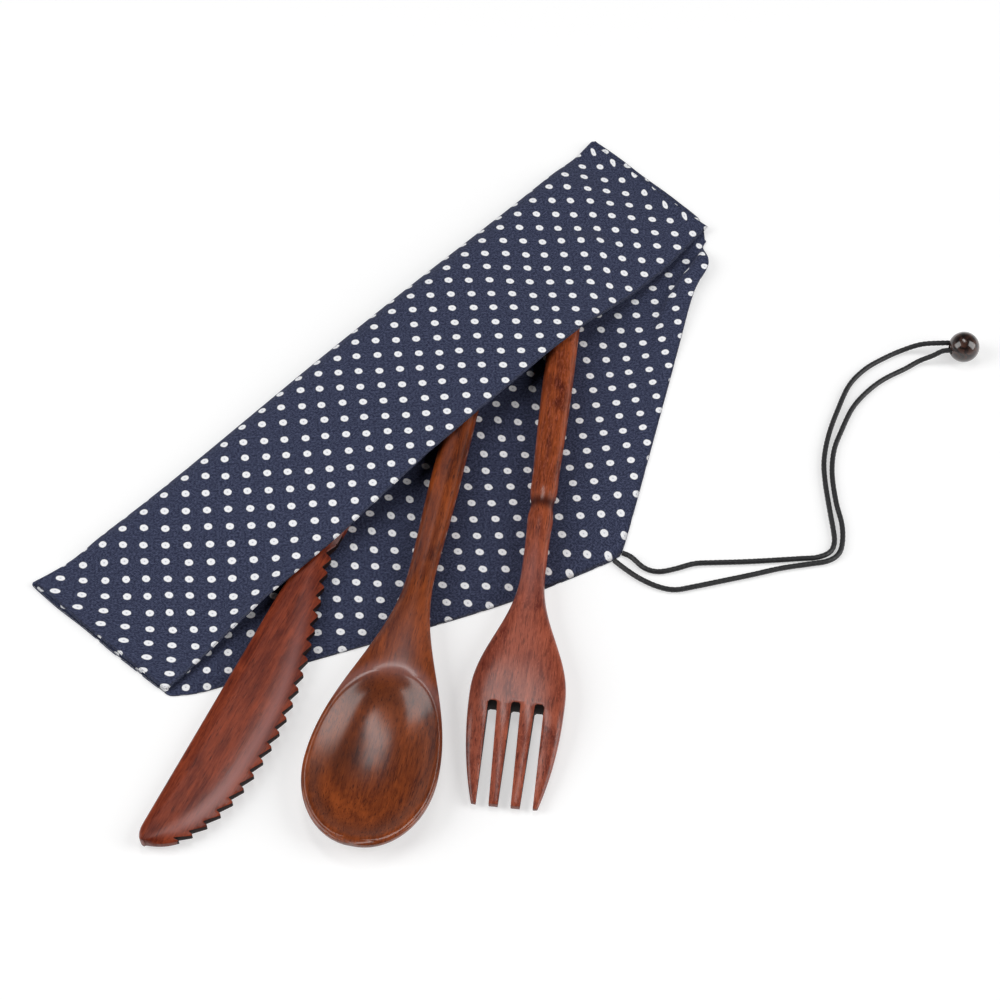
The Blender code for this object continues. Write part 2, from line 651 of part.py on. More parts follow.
def flap_edge(x):
    """Where the back layer's flap ends in front of the opening: two nearly straight sides to a point."""
    away = math.hypot(x - FLAP_POINT_X, FLAP_POINT_ROUND) - FLAP_POINT_ROUND
    if x > FLAP_POINT_X:
        reach = FLAP_REACH * (1 - away / FLAP_RIGHT_RUN)
    else:
        blunt = FLAP_REACH - FLAP_BLUNT_SLOPE * away
        reach = -soft_max(-blunt, -FLAP_LEFT_SLOPE * (FLAP_LEFT_RUN - away), FLAP_POINT_ROUND)
    reach = soft_max(reach, FLAP_LIP, FLAP_LIP)
    from_side = max(POUCH_HALF - END_DRAW - abs(x - POUCH_MIDDLE_X), 0.0)
    corner = FLAP_CORNER_ROUND
    if from_side < corner:
        reach = FLAP_LIP + (reach - FLAP_LIP) * math.sqrt(1 - (1 - from_side / corner) ** 2)
    return OPENING_Y - reach


def across_pouch(place, y):
    """X of one strip of the cloth, which leans in a little towards the opening at the pouch's ends."""
    toward_opening = min(max((FOLD_Y - y) / POUCH_DEPTH, 0.0), 1.0)
    return POUCH_MIDDLE_X + place * (POUCH_HALF - END_DRAW * toward_opening**1.5)


def pouch_section(place):
    """One strip of the cloth: in from the flap's edge, round the soft fold and back to the opening."""
    flat = CLOTH / 2
    start = flap_edge(across_pouch(place, OPENING_Y))
    fold = fold_line(place)
    height = front_height(across_pouch(place, fold - FOLD_ROLL), fold - FOLD_ROLL)
    roll = min(FOLD_ROLL, 1.1 * (height - flat))
    turn_y = fold - roll
    rows = [start + (OPENING_Y - start) * k / 3 for k in range(4)]
    rows += [OPENING_Y + (turn_y - OPENING_Y) * k / 4 for k in range(1, 5)]
    strip = [(across_pouch(place, y), y, flat) for y in rows]
    top = front_height(across_pouch(place, turn_y), turn_y)
    for k in range(1, 6):
        turn = math.pi * k / 6
        y = turn_y + roll * math.sin(turn)
        strip.append((across_pouch(place, y), y, (flat + top) / 2 - (top - flat) / 2 * math.cos(turn)))
    for k in range(10):
        y = turn_y + (OPENING_Y - turn_y) * k / 9
        x = across_pouch(place, y)
        strip.append((x, y, front_height(x, y)))
    return strip


def pouch_places():
    """Where the strips lie, from -1 at the left end to 1 at the right, closer at the seams and the point."""
    seam = 1 - SEAM_WIDTH / POUCH_HALF
    point = (FLAP_POINT_X - POUCH_MIDDLE_X) / (POUCH_HALF - END_DRAW)
    special = [-seam, seam] + [point + step / POUCH_HALF for step in (-0.004, -0.0015, 0.0015, 0.004)]
    even = [-1 + 2 * k / STRIPS for k in range(STRIPS + 1)]
    kept = [place for place in even if all(abs(place - other) > 0.4 / STRIPS for other in special)]
    return sorted(kept + special)


def add_pouch(material, group, cutters):
    sections = [pouch_section(place) for place in pouch_places()]
    count = len(sections[0])
    points = [point for section in sections for point in section]
    faces = []
    for i in range(len(sections) - 1):
        for j in range(count - 1):
            a = i * count + j
            faces.append((a, a + 1, a + count + 1, a + count))
    pouch = mesh_object("pouch", points, faces, material, group)
    thicken = pouch.modifiers.new("cloth", "SOLIDIFY")
    thicken.thickness = CLOTH
    thicken.offset = 0.0
    thicken.use_even_offset = False
    for side, name in ((-1, "left"), (1, "right")):
        join(pouch, add_seam(side, name, cutters))
    return pouch


def add_seam(side, name, cutters):
    """The strip where the front layer is sewn down to the back one at an end of the pouch."""
    ends = (OPENING_Y + SEAM_INSET, (OPENING_Y + FOLD_Y) / 2, FOLD_Y - 2 * CLOTH)
    outer = [(across_pouch(side, y) - side * SEAM_INSET, y) for y in ends]
    inner = [(across_pouch(side, y) - side * (SEAM_WIDTH - SEAM_INSET), y) for y in reversed(ends)]
    return prism(f"seam_{name}", outer + inner, 0.3 * CLOTH, LAYER_LOW + 0.2 * CLOTH, cutters)


def join(target, piece):
    step = target.modifiers.new(piece.name, "BOOLEAN")
    step.operation = "UNION"
    step.solver = "EXACT"
    step.object = piece


def smooth_route(route, count):
    """Evenly spaced points on a smooth curve through the route's points."""
    points = [Vector(point) for point in route]
    points = [2 * points[0] - points[1]] + points + [2 * points[-1] - points[-2]]
    fine = []
    for a, b, c, d in zip(points, points[1:], points[2:], points[3:]):
        for k in range(12):
            t = k / 12
            fine.append(
                0.5 * (2 * b + (c - a) * t + (2 * a - 5 * b + 4 * c - d) * t**2
                       + (3 * b - a - 3 * c + d) * t**3)
            )
    fine.append(points[-2])
    lengths = np.cumsum([0.0] + [(q - p).length for p, q in zip(fine, fine[1:])])
    wanted = np.linspace(0.0, lengths[-1], count)
    columns = [np.interp(wanted, lengths, [point[axis] for point in fine]) for axis in range(3)]
    columns[2] = np.maximum(columns[2], CORD_HEIGHT)
    return [tuple(float(value) for value in row) for row in zip(*columns)]


def bore_point(from_middle, aside):
    """A place on the bead's bore: how far out from the bead's middle, and how far to one side."""
    along = (math.cos(BORE_ANGLE), math.sin(BORE_ANGLE))
    return (
        BEAD_X + from_middle * along[0] - aside * along[1],
        BEAD_Y + from_middle * along[1] + aside * along[0],
        BEAD_HEIGHT,
    )


def into_bead(route, side):
    """The route with the straight stretch that runs into the bead's bore."""
    floor = BEAD_DIAMETER / 2 - BORE_DEPTH
    aside = side * CORD_SPACING / 2
    mouth = BEAD_DIAMETER / 2 + CORD_DIAMETER
    return (*route, bore_point(mouth, aside), bore_point(floor + 2 * PLAY, aside))


def add_cord(name, route, material, group):
    data = bpy.data.curves.new(name, "CURVE")
    data.dimensions = "3D"
    data.bevel_depth = CORD_DIAMETER / 2
    data.bevel_resolution = 2
    data.use_fill_caps = True
    spline = data.splines.new("POLY")
    points = smooth_route(route, CORD_POINTS)
    spline.points.add(len(points) - 1)
    for target, point in zip(spline.points, points):
        target.co = (*point, 1.0)
    data.materials.append(material)
    obj = bpy.data.objects.new(name, data)
    group.objects.link(obj)
    return obj


def add_bead(material, group, cutters):
    """A turned round bead with one bore that takes the ends of both cords."""
    mesh = bpy.data.meshes.new("bead")
    work = bmesh.new()
    bmesh.ops.create_uvsphere(work, u_segments=20, v_segments=12, radius=BEAD_DIAMETER / 2)
    work.to_mesh(mesh)
    work.free()
    mesh.materials.append(material)
    mesh.shade_smooth()
    bead = bpy.data.objects.new("bead", mesh)
    bead.location = (BEAD_X, BEAD_Y, BEAD_HEIGHT)
    group.objects.link(bead)
    cut(bead, add_bore(cutters))
    return bead


def add_bore(cutters):
    """A blind slot with round ends that holds both cords side by side."""
    half = CORD_DIAMETER / 2 + PLAY
    span = CORD_SPACING / 2
    outline = []
    for k in range(7):
        turn = math.radians(-90 + 30 * k)
        outline.append((span + half * math.cos(turn), half * math.sin(turn)))
    outline += [(-x, -y) for x, y in outline]
    bore = prism("bead_bore", outline, 0.0, BEAD_DIAMETER, cutters)
    bore.rotation_euler = (math.radians(90), 0.0, BORE_ANGLE + math.radians(90))
    bore.location = bore_point(BEAD_DIAMETER / 2 - BORE_DEPTH, 0.0)
    return bore


def build():
    clear_scene()
    pack = new_collection("wooden_cutlery_pack")
    cutters = new_collection("cutters")
    cutters.hide_render = True
    cotton = surface("printed_cotton", (0.030, 0.034, 0.075), 0.85)
    wood = surface("lacquered_wood", (0.190, 0.050, 0.022), 0.30)
    waxed = surface("waxed_cord", (0.012, 0.012, 0.012), 0.55)
    turned = surface("dark_bead", (0.045, 0.025, 0.020), 0.22)
    add_pouch(cotton, pack, cutters)
    add_knife(wood, pack, cutters)
    add_spoon(wood, pack)
    add_fork(wood, pack, cutters)
    add_cord("cord_upper", into_bead(UPPER_CORD_ROUTE, -1), waxed, pack)
    add_cord("cord_lower", into_bead(LOWER_CORD_ROUTE, 1), waxed, pack)
    add_bead(turned, pack, cutters)


build()
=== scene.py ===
"""Wooden cutlery pack: knife, spoon and fork in a dotted cloth pouch with a corded bead tie."""

import math

import bmesh
import bpy
import numpy as np
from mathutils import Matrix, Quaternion, Vector


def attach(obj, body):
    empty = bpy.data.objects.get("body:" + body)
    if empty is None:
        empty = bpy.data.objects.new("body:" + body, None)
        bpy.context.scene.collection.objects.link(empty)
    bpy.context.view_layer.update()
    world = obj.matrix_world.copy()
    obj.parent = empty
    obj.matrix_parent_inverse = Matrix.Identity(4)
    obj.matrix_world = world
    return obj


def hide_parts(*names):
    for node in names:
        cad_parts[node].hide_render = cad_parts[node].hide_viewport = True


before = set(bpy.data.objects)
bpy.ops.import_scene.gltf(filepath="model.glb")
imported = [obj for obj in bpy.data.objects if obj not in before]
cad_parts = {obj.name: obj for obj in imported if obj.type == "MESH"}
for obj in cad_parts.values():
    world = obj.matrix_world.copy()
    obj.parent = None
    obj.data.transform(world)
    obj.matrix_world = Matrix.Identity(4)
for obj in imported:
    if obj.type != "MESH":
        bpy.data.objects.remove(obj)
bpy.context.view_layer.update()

# The studio: a camera high at the left of the open pouch, two tall soft boxes at its sides and a
# narrow one overhead, which the lacquered bowl mirrors, and a plain pale table.
VIEW_TARGET = Vector((0.01246, 0.00107, 0.0))
VIEW_DISTANCE = 0.7429
VIEW_AZIMUTH = math.radians(-46.5)
VIEW_ELEVATION = math.radians(55.0)
LENS_MM = 85.0
SENSOR_MM = 36.0
LAMP_DISTANCE = 1.3
SKY_FADES_FROM = 0.05
SKY_FADES_TO = 0.60
SKY_LOW_GLOW = 0.42
SKY_HIGH_GLOW = 0.04
TABLE_HALF = 14.0
TABLE_DROP = 0.0002
TABLE_COLOUR = (0.55, 0.55, 0.55, 1.0)
TABLE_GLOW = 0.51


def seen_from_camera(right, away, up):
    """A direction in the row frame from its share to the right of the picture, away and up."""
    x = right * math.cos(VIEW_AZIMUTH) - away * math.sin(VIEW_AZIMUTH)
    y = right * math.sin(VIEW_AZIMUTH) + away * math.cos(VIEW_AZIMUTH)
    return Vector((x, y, up)).normalized()


def add_soft_box(name, direction, width, height, radiance, turn=0.0):
    lamp = bpy.data.lights.new(name, "AREA")
    lamp.shape = "RECTANGLE"
    lamp.size = width
    lamp.size_y = height
    lamp.energy = radiance * math.pi * width * height
    obj = bpy.data.objects.new(name, lamp)
    obj.location = VIEW_TARGET + direction * LAMP_DISTANCE
    obj.rotation_mode = "QUATERNION"
    obj.rotation_quaternion = direction.to_track_quat("Z", "Y") @ Quaternion((0, 0, 1), math.radians(turn))
    bpy.context.scene.collection.objects.link(obj)
    return obj


def node(tree, kind, inputs=None, **settings):
    """Adds a shader node. Each input takes a value or another node's output."""
    made = tree.nodes.new(kind)
    for key, value in settings.items():
        setattr(made, key, value)
    for socket, value in (inputs or {}).items():
        if isinstance(value, bpy.types.NodeSocket):
            tree.links.new(value, made.inputs[socket])
        else:
            made.inputs[socket].default_value = value
    return made


def maths(tree, operation, first, second=0.0, third=0.0):
    made = node(tree, "ShaderNodeMath", {0: first, 1: second, 2: third}, operation=operation)
    return made.outputs[0]


def map_range(tree, value, low, high, start, end, **settings):
    inputs = {"Value": value, "From Min": low, "From Max": high, "To Min": start, "To Max": end}
    return node(tree, "ShaderNodeMapRange", inputs, **settings).outputs["Result"]


def new_material(name):
    """A material, its node tree and its main shader."""
    material = bpy.data.materials.new(name)
    material.use_nodes = True
    return material, material.node_tree, material.node_tree.nodes["Principled BSDF"]


camera_data = bpy.data.cameras.new("camera")
camera_data.lens = LENS_MM
camera_data.sensor_width = SENSOR_MM
camera = bpy.data.objects.new("camera", camera_data)
view_back = Vector((
    math.sin(VIEW_AZIMUTH) * math.cos(VIEW_ELEVATION),
    -math.cos(VIEW_AZIMUTH) * math.cos(VIEW_ELEVATION),
    math.sin(VIEW_ELEVATION),
))
camera.location = VIEW_TARGET + view_back * VIEW_DISTANCE
camera.rotation_mode = "QUATERNION"
camera.rotation_quaternion = (-view_back).to_track_quat("-Z", "Y")
bpy.context.scene.collection.objects.link(camera)
bpy.context.scene.camera = camera
bpy.context.scene.view_settings.view_transform = "Standard"

add_soft_box("soft_box_right", seen_from_camera(0.80, -0.14, 0.52), 0.84, 1.15, 4.1)
add_soft_box("soft_box_left", seen_from_camera(-0.78, -0.10, 0.60), 0.86, 1.10, 3.9)
add_soft_box("soft_box_top", seen_from_camera(0.0, 0.24, 0.96), 0.26, 0.56, 6.4, 34.0)

world = bpy.data.worlds.new("studio")
bpy.context.scene.world = world
world.use_nodes = True
sky = world.node_tree
sky_height = node(sky, "ShaderNodeSeparateXYZ", {0: node(sky, "ShaderNodeTexCoord").outputs["Generated"]})
sky_share = map_range(
    sky, sky_height.outputs["Z"], SKY_FADES_FROM, SKY_FADES_TO, SKY_LOW_GLOW, SKY_HIGH_GLOW,
    interpolation_type="SMOOTHSTEP",
)
sky.links.new(sky_share, sky.nodes["Background"].inputs["Strength"])
sky.nodes["Background"].inputs["Color"].default_value = (1.0, 1.0, 1.0, 1.0)

table_mesh = bpy.data.meshes.new("table")
table_mesh.from_pydata(
    [(-TABLE_HALF, -TABLE_HALF, 0), (TABLE_HALF, -TABLE_HALF, 0),
     (TABLE_HALF, TABLE_HALF, 0), (-TABLE_HALF, TABLE_HALF, 0)],
    [], [(0, 1, 2, 3)],
)
table = bpy.data.objects.new("table", table_mesh)
table.location.z = -TABLE_DROP
bpy.context.scene.collection.objects.link(table)
table_paint, paint, plain_shader = new_material("pale_table")
paint.nodes.remove(plain_shader)
light_path = node(paint, "ShaderNodeLightPath")
straight = maths(paint, "MAXIMUM", light_path.outputs["Is Camera Ray"], light_path.outputs["Is Glossy Ray"])
straight = maths(paint, "MAXIMUM", straight, light_path.outputs["Is Transmission Ray"])
glow = node(paint, "ShaderNodeEmission", {"Strength": maths(paint, "MULTIPLY", straight, TABLE_GLOW)})
matt = node(paint, "ShaderNodeBsdfDiffuse", {"Color": TABLE_COLOUR})
both = node(paint, "ShaderNodeAddShader", {0: matt.outputs[0], 1: glow.outputs[0]})
paint.links.new(both.outputs[0], paint.nodes["Material Output"].inputs["Surface"])
table_mesh.materials.append(table_paint)

# The pouch: one long piece of navy cotton, printed with white dots on both faces. The back layer
# ends in a three-cornered flap; the cloth turns over a soft fold at the back and the front layer
# is sewn down at both ends, so that only the handles inside lift it.
CLOTH = 0.0010
PLAY = 0.0003
POUCH_MIDDLE_X = 0.0181
FOLD_Y = 0.0826
POUCH_LENGTH = 0.2545
POUCH_DEPTH = 0.0579
END_DRAW = 0.0024
FOLD_DRAW = 0.0030
FLAP_REACH = 0.0652
FLAP_POINT_X = 0.0218
FLAP_LEFT_RUN = 0.1334
FLAP_LEFT_SLOPE = 0.530
FLAP_BLUNT_SLOPE = 0.370
FLAP_RIGHT_RUN = 0.1170
FLAP_POINT_ROUND = 0.0020
FLAP_CORNER_ROUND = 0.0080
FLAP_LIP = 0.0006
SEAM_WIDTH = 0.0050
END_RISE = 0.0200
OPENING_LIFT = 0.0088
REAR_LIFT = 0.0068
FOLD_ROLL = 0.0085
RIDGE_FALL = 0.40
RIDGE_SPREAD = 0.0018
RIDGE_BLEND = 0.0008
OPENING_SHAPE = (
    (-1.00, 0.00), (-0.73, 0.02), (-0.61, 0.22), (-0.45, 0.45), (-0.10, 0.95),
    (0.10, 1.00), (0.34, 0.98), (0.48, 0.68), (0.70, 0.14), (1.00, 0.00),
)
REAR_SHAPE = (
    (-1.00, 0.05), (-0.94, 0.12), (-0.86, 0.62), (-0.75, 0.82), (-0.40, 0.88), (0.00, 1.00),
    (0.25, 1.08), (0.50, 1.02), (0.70, 0.86), (0.85, 0.64), (0.95, 0.35), (1.00, 0.08),
)
DRAW_SHAPE = (
    (-1.00, 0.00), (-0.94, 0.55), (-0.85, 1.15), (-0.60, 1.40), (-0.30, 1.25), (0.00, 1.10),
    (0.40, 1.05), (0.70, 0.85), (0.90, 0.55), (1.00, 0.05),
)
# Each handle in the pouch: the X and inset of its end, the way it points, width and thicknesses.
SPOON_LIES = (0.0829, 0.0160, math.radians(212.5))
FORK_LIES = (0.1031, 0.0306, math.radians(216.9))
KNIFE_LIES = (0.0516, 0.0228, math.radians(199.6))
HANDLES = (
    (SPOON_LIES, 0.0096, 0.0082, 0.0050),
    (FORK_LIES, 0.0098, 0.0080, 0.0050),
    (KNIFE_LIES, 0.0084, 0.0040, 0.0040),
)
SEAT = CLOTH + PLAY
OPENING_Y = FOLD_Y - POUCH_DEPTH
POUCH_HALF = POUCH_LENGTH / 2
LAYER_LOW = 1.5 * CLOTH + 0.00015
STRIPS = 240
FLAP_ROWS = 34
BASE_ROWS = 14
ROLL_ROWS = 12
FRONT_ROWS = 48
HEM = 0.0004
HEM_TAPER = 0.0040
# The back layer's edge pokes out past the front one at both ends, in waves.
POKE = 0.0012
POKE_LEFT = 0.7
POKE_RIGHT = 2.0
POKE_WAVE = 0.0005
POKE_WAVES = (190.0, 83.0)
POKE_START = 0.012
POKE_RUN = 0.006
# The flap's right side stands up past a crease, with a bulge and a slanted corner.
STRIP_RISE = 0.0030
STRIP_START = 0.014
STRIP_INSET = 0.0086
STRIP_INSET_RUN = 0.040
STRIP_FADE = 0.0560
CREASE_WIDTH = 0.0022
STRIP_BULGE = 0.0030
BULGE_FROM_END = 0.0130
BULGE_SPREAD = 0.0085
CORNER_CUT = 0.0045
CORNER_HEIGHT = 0.006
CORNER_SHARE = 0.12
OPENING_PULL = 0.0022
OPENING_PULL_RUN = 0.0280

# The print: rows of dots on a square lattice that runs slantwise over the cloth. Each face has its
# own start, and small terms say how far the cloth is pulled out of square. Places on the cloth are
# counted in the two units, along the pouch and across it, and the ends are pulled a little more.
UNIT_ALONG = 0.1
UNIT_ACROSS = 0.03
OUTER_START = 0.1
OUTER_END_PULL = 0.026
OUTER_PULL_RUN = 0.034
INNER_END_PULL = 0.031
INNER_PULL_START = -0.90
INNER_PULL_RUN = 0.35
DOT_PITCH = 0.0066
DOT_RADIUS = 0.00126
DOT_MARK = 0.00026
DOT_MARK_SHARE = 0.55
DOT_SOFTNESS = 0.016
DOT_DRIFT = 0.07
DOT_FRAY = 0.05
THREAD_SCALE = 3.4
OUTER_PRINT = {
    (0, 0): (-6.193, 5.686), (0, 1): (2.894, 3.480), (0, 2): (-0.010, -0.018),
    (1, 0): (11.562, -11.476), (1, 1): (-0.166, 0.031), (2, 0): (-0.016, -0.068),
}
INNER_PRINT = {
    (0, 0): (4.042, -3.759), (0, 1): (-2.773, -3.411), (0, 2): (-0.121, 0.222), (0, 3): (-0.143, 0.496),
    (1, 0): (11.894, -11.516), (1, 1): (0.096, -0.475), (1, 2): (0.072, 0.452),
    (2, 0): (0.106, 0.951), (2, 1): (-0.069, -1.063), (3, 0): (-0.107, -0.022),
}


def smoothstep(value):
    value = np.clip(value, 0.0, 1.0)
    return value * value * (3 - 2 * value)


def soft_max(first, second, blend):
    return (first + second + np.hypot(first - second, blend)) / 2


def through(points, at, column=1):
    """A smooth curve through the points that never swings past them, read at many places."""
    table_of = np.array(points, float)
    places, values = table_of[:, 0], table_of[:, column]
    at = np.clip(np.asarray(at, float), places[0], places[-1])
    steps = np.diff(values) / np.diff(places)
    slopes = np.concatenate([steps[:1], np.zeros(len(steps) - 1), steps[-1:]])
    for k in range(1, len(steps)):
        before, after = steps[k - 1], steps[k]
        slopes[k] = 2 * before * after / (before + after) if before * after > 0 else 0.0
    i = np.clip(np.searchsorted(places, at, side="right") - 1, 0, len(places) - 2)
    span = places[i + 1] - places[i]
    t = (at - places[i]) / span
    return (
        values[i] * (1 + 2 * t) * (1 - t) ** 2 + slopes[i] * span * t * (1 - t) ** 2
        + values[i + 1] * t * t * (3 - 2 * t) + slopes[i + 1] * span * t * t * (t - 1)
    )


def handle_thickness(from_end, thickness, end_thickness):
    return end_thickness + (thickness - end_thickness) * smoothstep(from_end / POUCH_DEPTH)


def held_by(x, y, lies, width, thickness, end_thickness):
    """How high one handle holds the front layer."""
    end_x, inset, angle = lies
    dx, dy = x - end_x, y - (FOLD_Y - inset)
    along = dx * math.cos(angle) + dy * math.sin(angle)
    aside = dy * math.cos(angle) - dx * math.sin(angle)
    thick = handle_thickness(along, thickness, end_thickness)
    away = np.maximum(np.abs(aside) - width / 2 - RIDGE_SPREAD, 0) + np.maximum(-along - RIDGE_SPREAD, 0)
    return SEAT + thick + PLAY + CLOTH / 2 - RIDGE_FALL * away


def front_height(x, y):
    place = (x - POUCH_MIDDLE_X) / POUCH_HALF
    rear = REAR_LIFT * through(REAR_SHAPE, place)
    front = OPENING_LIFT * through(OPENING_SHAPE, place)
    height = LAYER_LOW + rear + (front - rear) * (FOLD_Y - y) / POUCH_DEPTH
    for handle in HANDLES:
        height = soft_max(height, held_by(x, y, *handle), RIDGE_BLEND)
    from_side = POUCH_HALF - np.abs(x - POUCH_MIDDLE_X)
    return LAYER_LOW + (height - LAYER_LOW) * smoothstep((from_side - SEAM_WIDTH) / END_RISE)


def across_pouch(place, y):
    toward_opening = np.clip((FOLD_Y - y) / POUCH_DEPTH, 0.0, 1.0)
    return POUCH_MIDDLE_X + place * (POUCH_HALF - END_DRAW * toward_opening**1.5)


def flap_edge(x):
    away = np.hypot(x - FLAP_POINT_X, FLAP_POINT_ROUND) - FLAP_POINT_ROUND
    right = FLAP_REACH * (1 - away / FLAP_RIGHT_RUN)
    straight_left = -FLAP_LEFT_SLOPE * (FLAP_LEFT_RUN - away)
    left = -soft_max(FLAP_BLUNT_SLOPE * away - FLAP_REACH, straight_left, FLAP_POINT_ROUND)
    reach = soft_max(np.where(x > FLAP_POINT_X, right, left), FLAP_LIP, FLAP_LIP)
    from_side = np.maximum(POUCH_HALF - END_DRAW - np.abs(x - POUCH_MIDDLE_X), 0.0)
    corner = np.sqrt(1 - (1 - np.minimum(from_side / FLAP_CORNER_ROUND, 1.0)) ** 2)
    bulge = STRIP_BULGE * np.exp(-(((from_side - BULGE_FROM_END) / BULGE_SPREAD) ** 2))
    reach = reach + np.where(x > POUCH_MIDDLE_X, bulge, 0.0)
    return OPENING_Y - (FLAP_LIP + (reach - FLAP_LIP) * corner)


def strip_rise(x, y):
    """The flap's right side stands up a little past a crease that starts at the right corner."""
    edge_x, edge_y = POUCH_MIDDLE_X + POUCH_HALF - END_DRAW, OPENING_Y
    run = math.hypot(edge_x - FLAP_POINT_X, FLAP_REACH)
    along_x, along_y = (FLAP_POINT_X - edge_x) / run, -FLAP_REACH / run
    along = (x - edge_x) * along_x + (y - edge_y) * along_y
    inward = (x - edge_x) * along_y - (y - edge_y) * along_x
    inset = STRIP_INSET * smoothstep(along / STRIP_INSET_RUN)
    past = smoothstep((inset - inward) / CREASE_WIDTH + 0.5)
    rise = smoothstep(along / STRIP_START) * (1 - smoothstep((along - STRIP_START) / STRIP_FADE))
    return STRIP_RISE * past * rise


def cloth_rows(place):
    """Y and height of each row of the cloth, from the flap's edge round the fold to the opening."""
    flat = CLOTH / 2
    start = flap_edge(across_pouch(place, OPENING_Y))
    fold = FOLD_Y - FOLD_DRAW * through(DRAW_SHAPE, place)
    near_fold = front_height(across_pouch(place, fold - FOLD_ROLL), fold - FOLD_ROLL)
    roll = np.minimum(FOLD_ROLL, 1.1 * (near_fold - flat))
    turn_y = fold - roll
    top = front_height(across_pouch(place, turn_y), turn_y)
    rows = []
    for k in range(FLAP_ROWS + 1):
        rows.append((start + (OPENING_Y - start) * k / FLAP_ROWS, flat))
    for k in range(1, BASE_ROWS + 1):
        rows.append((OPENING_Y + (turn_y - OPENING_Y) * k / BASE_ROWS, flat))
    for k in range(1, ROLL_ROWS + 1):
        turn = math.pi * k / ROLL_ROWS
        rows.append((turn_y + roll * math.sin(turn), (flat + top) / 2 - (top - flat) / 2 * math.cos(turn)))
    opening = OPENING_Y + OPENING_PULL * smoothstep(1 - (1 - place) * POUCH_HALF / OPENING_PULL_RUN)
    for k in range(1, FRONT_ROWS + 1):
        y = turn_y + (opening - turn_y) * k / FRONT_ROWS
        rows.append((y, front_height(across_pouch(place, y), y)))
    return rows


def end_shifts(place, y):
    """How far each point near an end is drawn in or out along the pouch."""
    row = np.arange(y.shape[1]) - FLAP_ROWS - BASE_ROWS
    below = 1 - smoothstep((row - 0.3 * ROLL_ROWS) / (0.6 * ROLL_ROWS))
    wave = np.sin(y * POKE_WAVES[0]) * np.cos(y * POKE_WAVES[1] + 1.0)
    side = np.where(place > 0, POKE_RIGHT, POKE_LEFT)[:, None]
    square = smoothstep((y - OPENING_Y) / POKE_START) * side
    out = np.sign(place) * smoothstep((np.abs(place) - 1) * POUCH_HALF / POKE_RUN + 1)
    shift = out[:, None] * (below * 2 - 1) * (POKE * square + POKE_WAVE * wave) / 2
    cut = smoothstep((OPENING_Y + CORNER_HEIGHT - y) / CORNER_HEIGHT)
    cut = cut * smoothstep((place[:, None] - 1 + CORNER_SHARE) / CORNER_SHARE)
    return shift - CORNER_CUT * cut * below


def cloth_grid(place):
    """The middle of the cloth, strip by strip, how far along the cloth each row lies, and how far
    the ends are shifted along the pouch."""
    grid = np.stack([
        np.stack([across_pouch(place, y), y, np.broadcast_to(z, y.shape)], -1) for y, z in cloth_rows(place)
    ], 1)
    flap = grid[:, :FLAP_ROWS + 1]
    flap[..., 2] += strip_rise(flap[..., 0], flap[..., 1])
    shift = end_shifts(place, grid[..., 1])
    grid[..., 0] += shift
    steps = np.linalg.norm(np.diff(grid, axis=1), axis=2)
    run = grid[:, :1, 1] + np.concatenate([np.zeros((len(place), 1)), np.cumsum(steps, 1)], 1)
    return grid, run, shift


def print_places(terms, u, v, u_range, v_range):
    """Where the dots' lattice lies: whole numbers are the middles of the dots."""
    held_u, held_v = np.clip(u, *u_range), np.clip(v, *v_range)
    lattice = np.zeros((*u.shape, 2))
    for (power_u, power_v), pull in terms.items():
        if power_u + power_v > 1:
            share = held_u**power_u * held_v**power_v
        else:
            share = u**power_u * v**power_v
        lattice += share[..., None] * np.array(pull)
    return lattice


def unit(vectors):
    return vectors / np.maximum(np.linalg.norm(vectors, axis=-1, keepdims=True), 1e-12)


def grid_faces(rows, columns, start, flip):
    i, j = np.meshgrid(np.arange(rows - 1), np.arange(columns - 1), indexing="ij")
    first = start + i * columns + j
    quad = np.stack([first, first + 1, first + columns + 1, first + columns], -1).reshape(-1, 4)
    return quad[:, ::-1] if flip else quad


def new_object(name, points, faces, smooth_angle=None):
    mesh = bpy.data.meshes.new(name)
    corners = [list(map(int, face)) for face in faces]
    mesh.from_pydata(np.asarray(points, float).reshape(-1, 3).tolist(), [], corners)
    mesh.update()
    obj = bpy.data.objects.new(name, mesh)
    bpy.context.scene.collection.objects.link(obj)
    mesh.shade_smooth()
    if smooth_angle:
        mesh.set_sharp_from_angle(angle=math.radians(smooth_angle))
    return obj


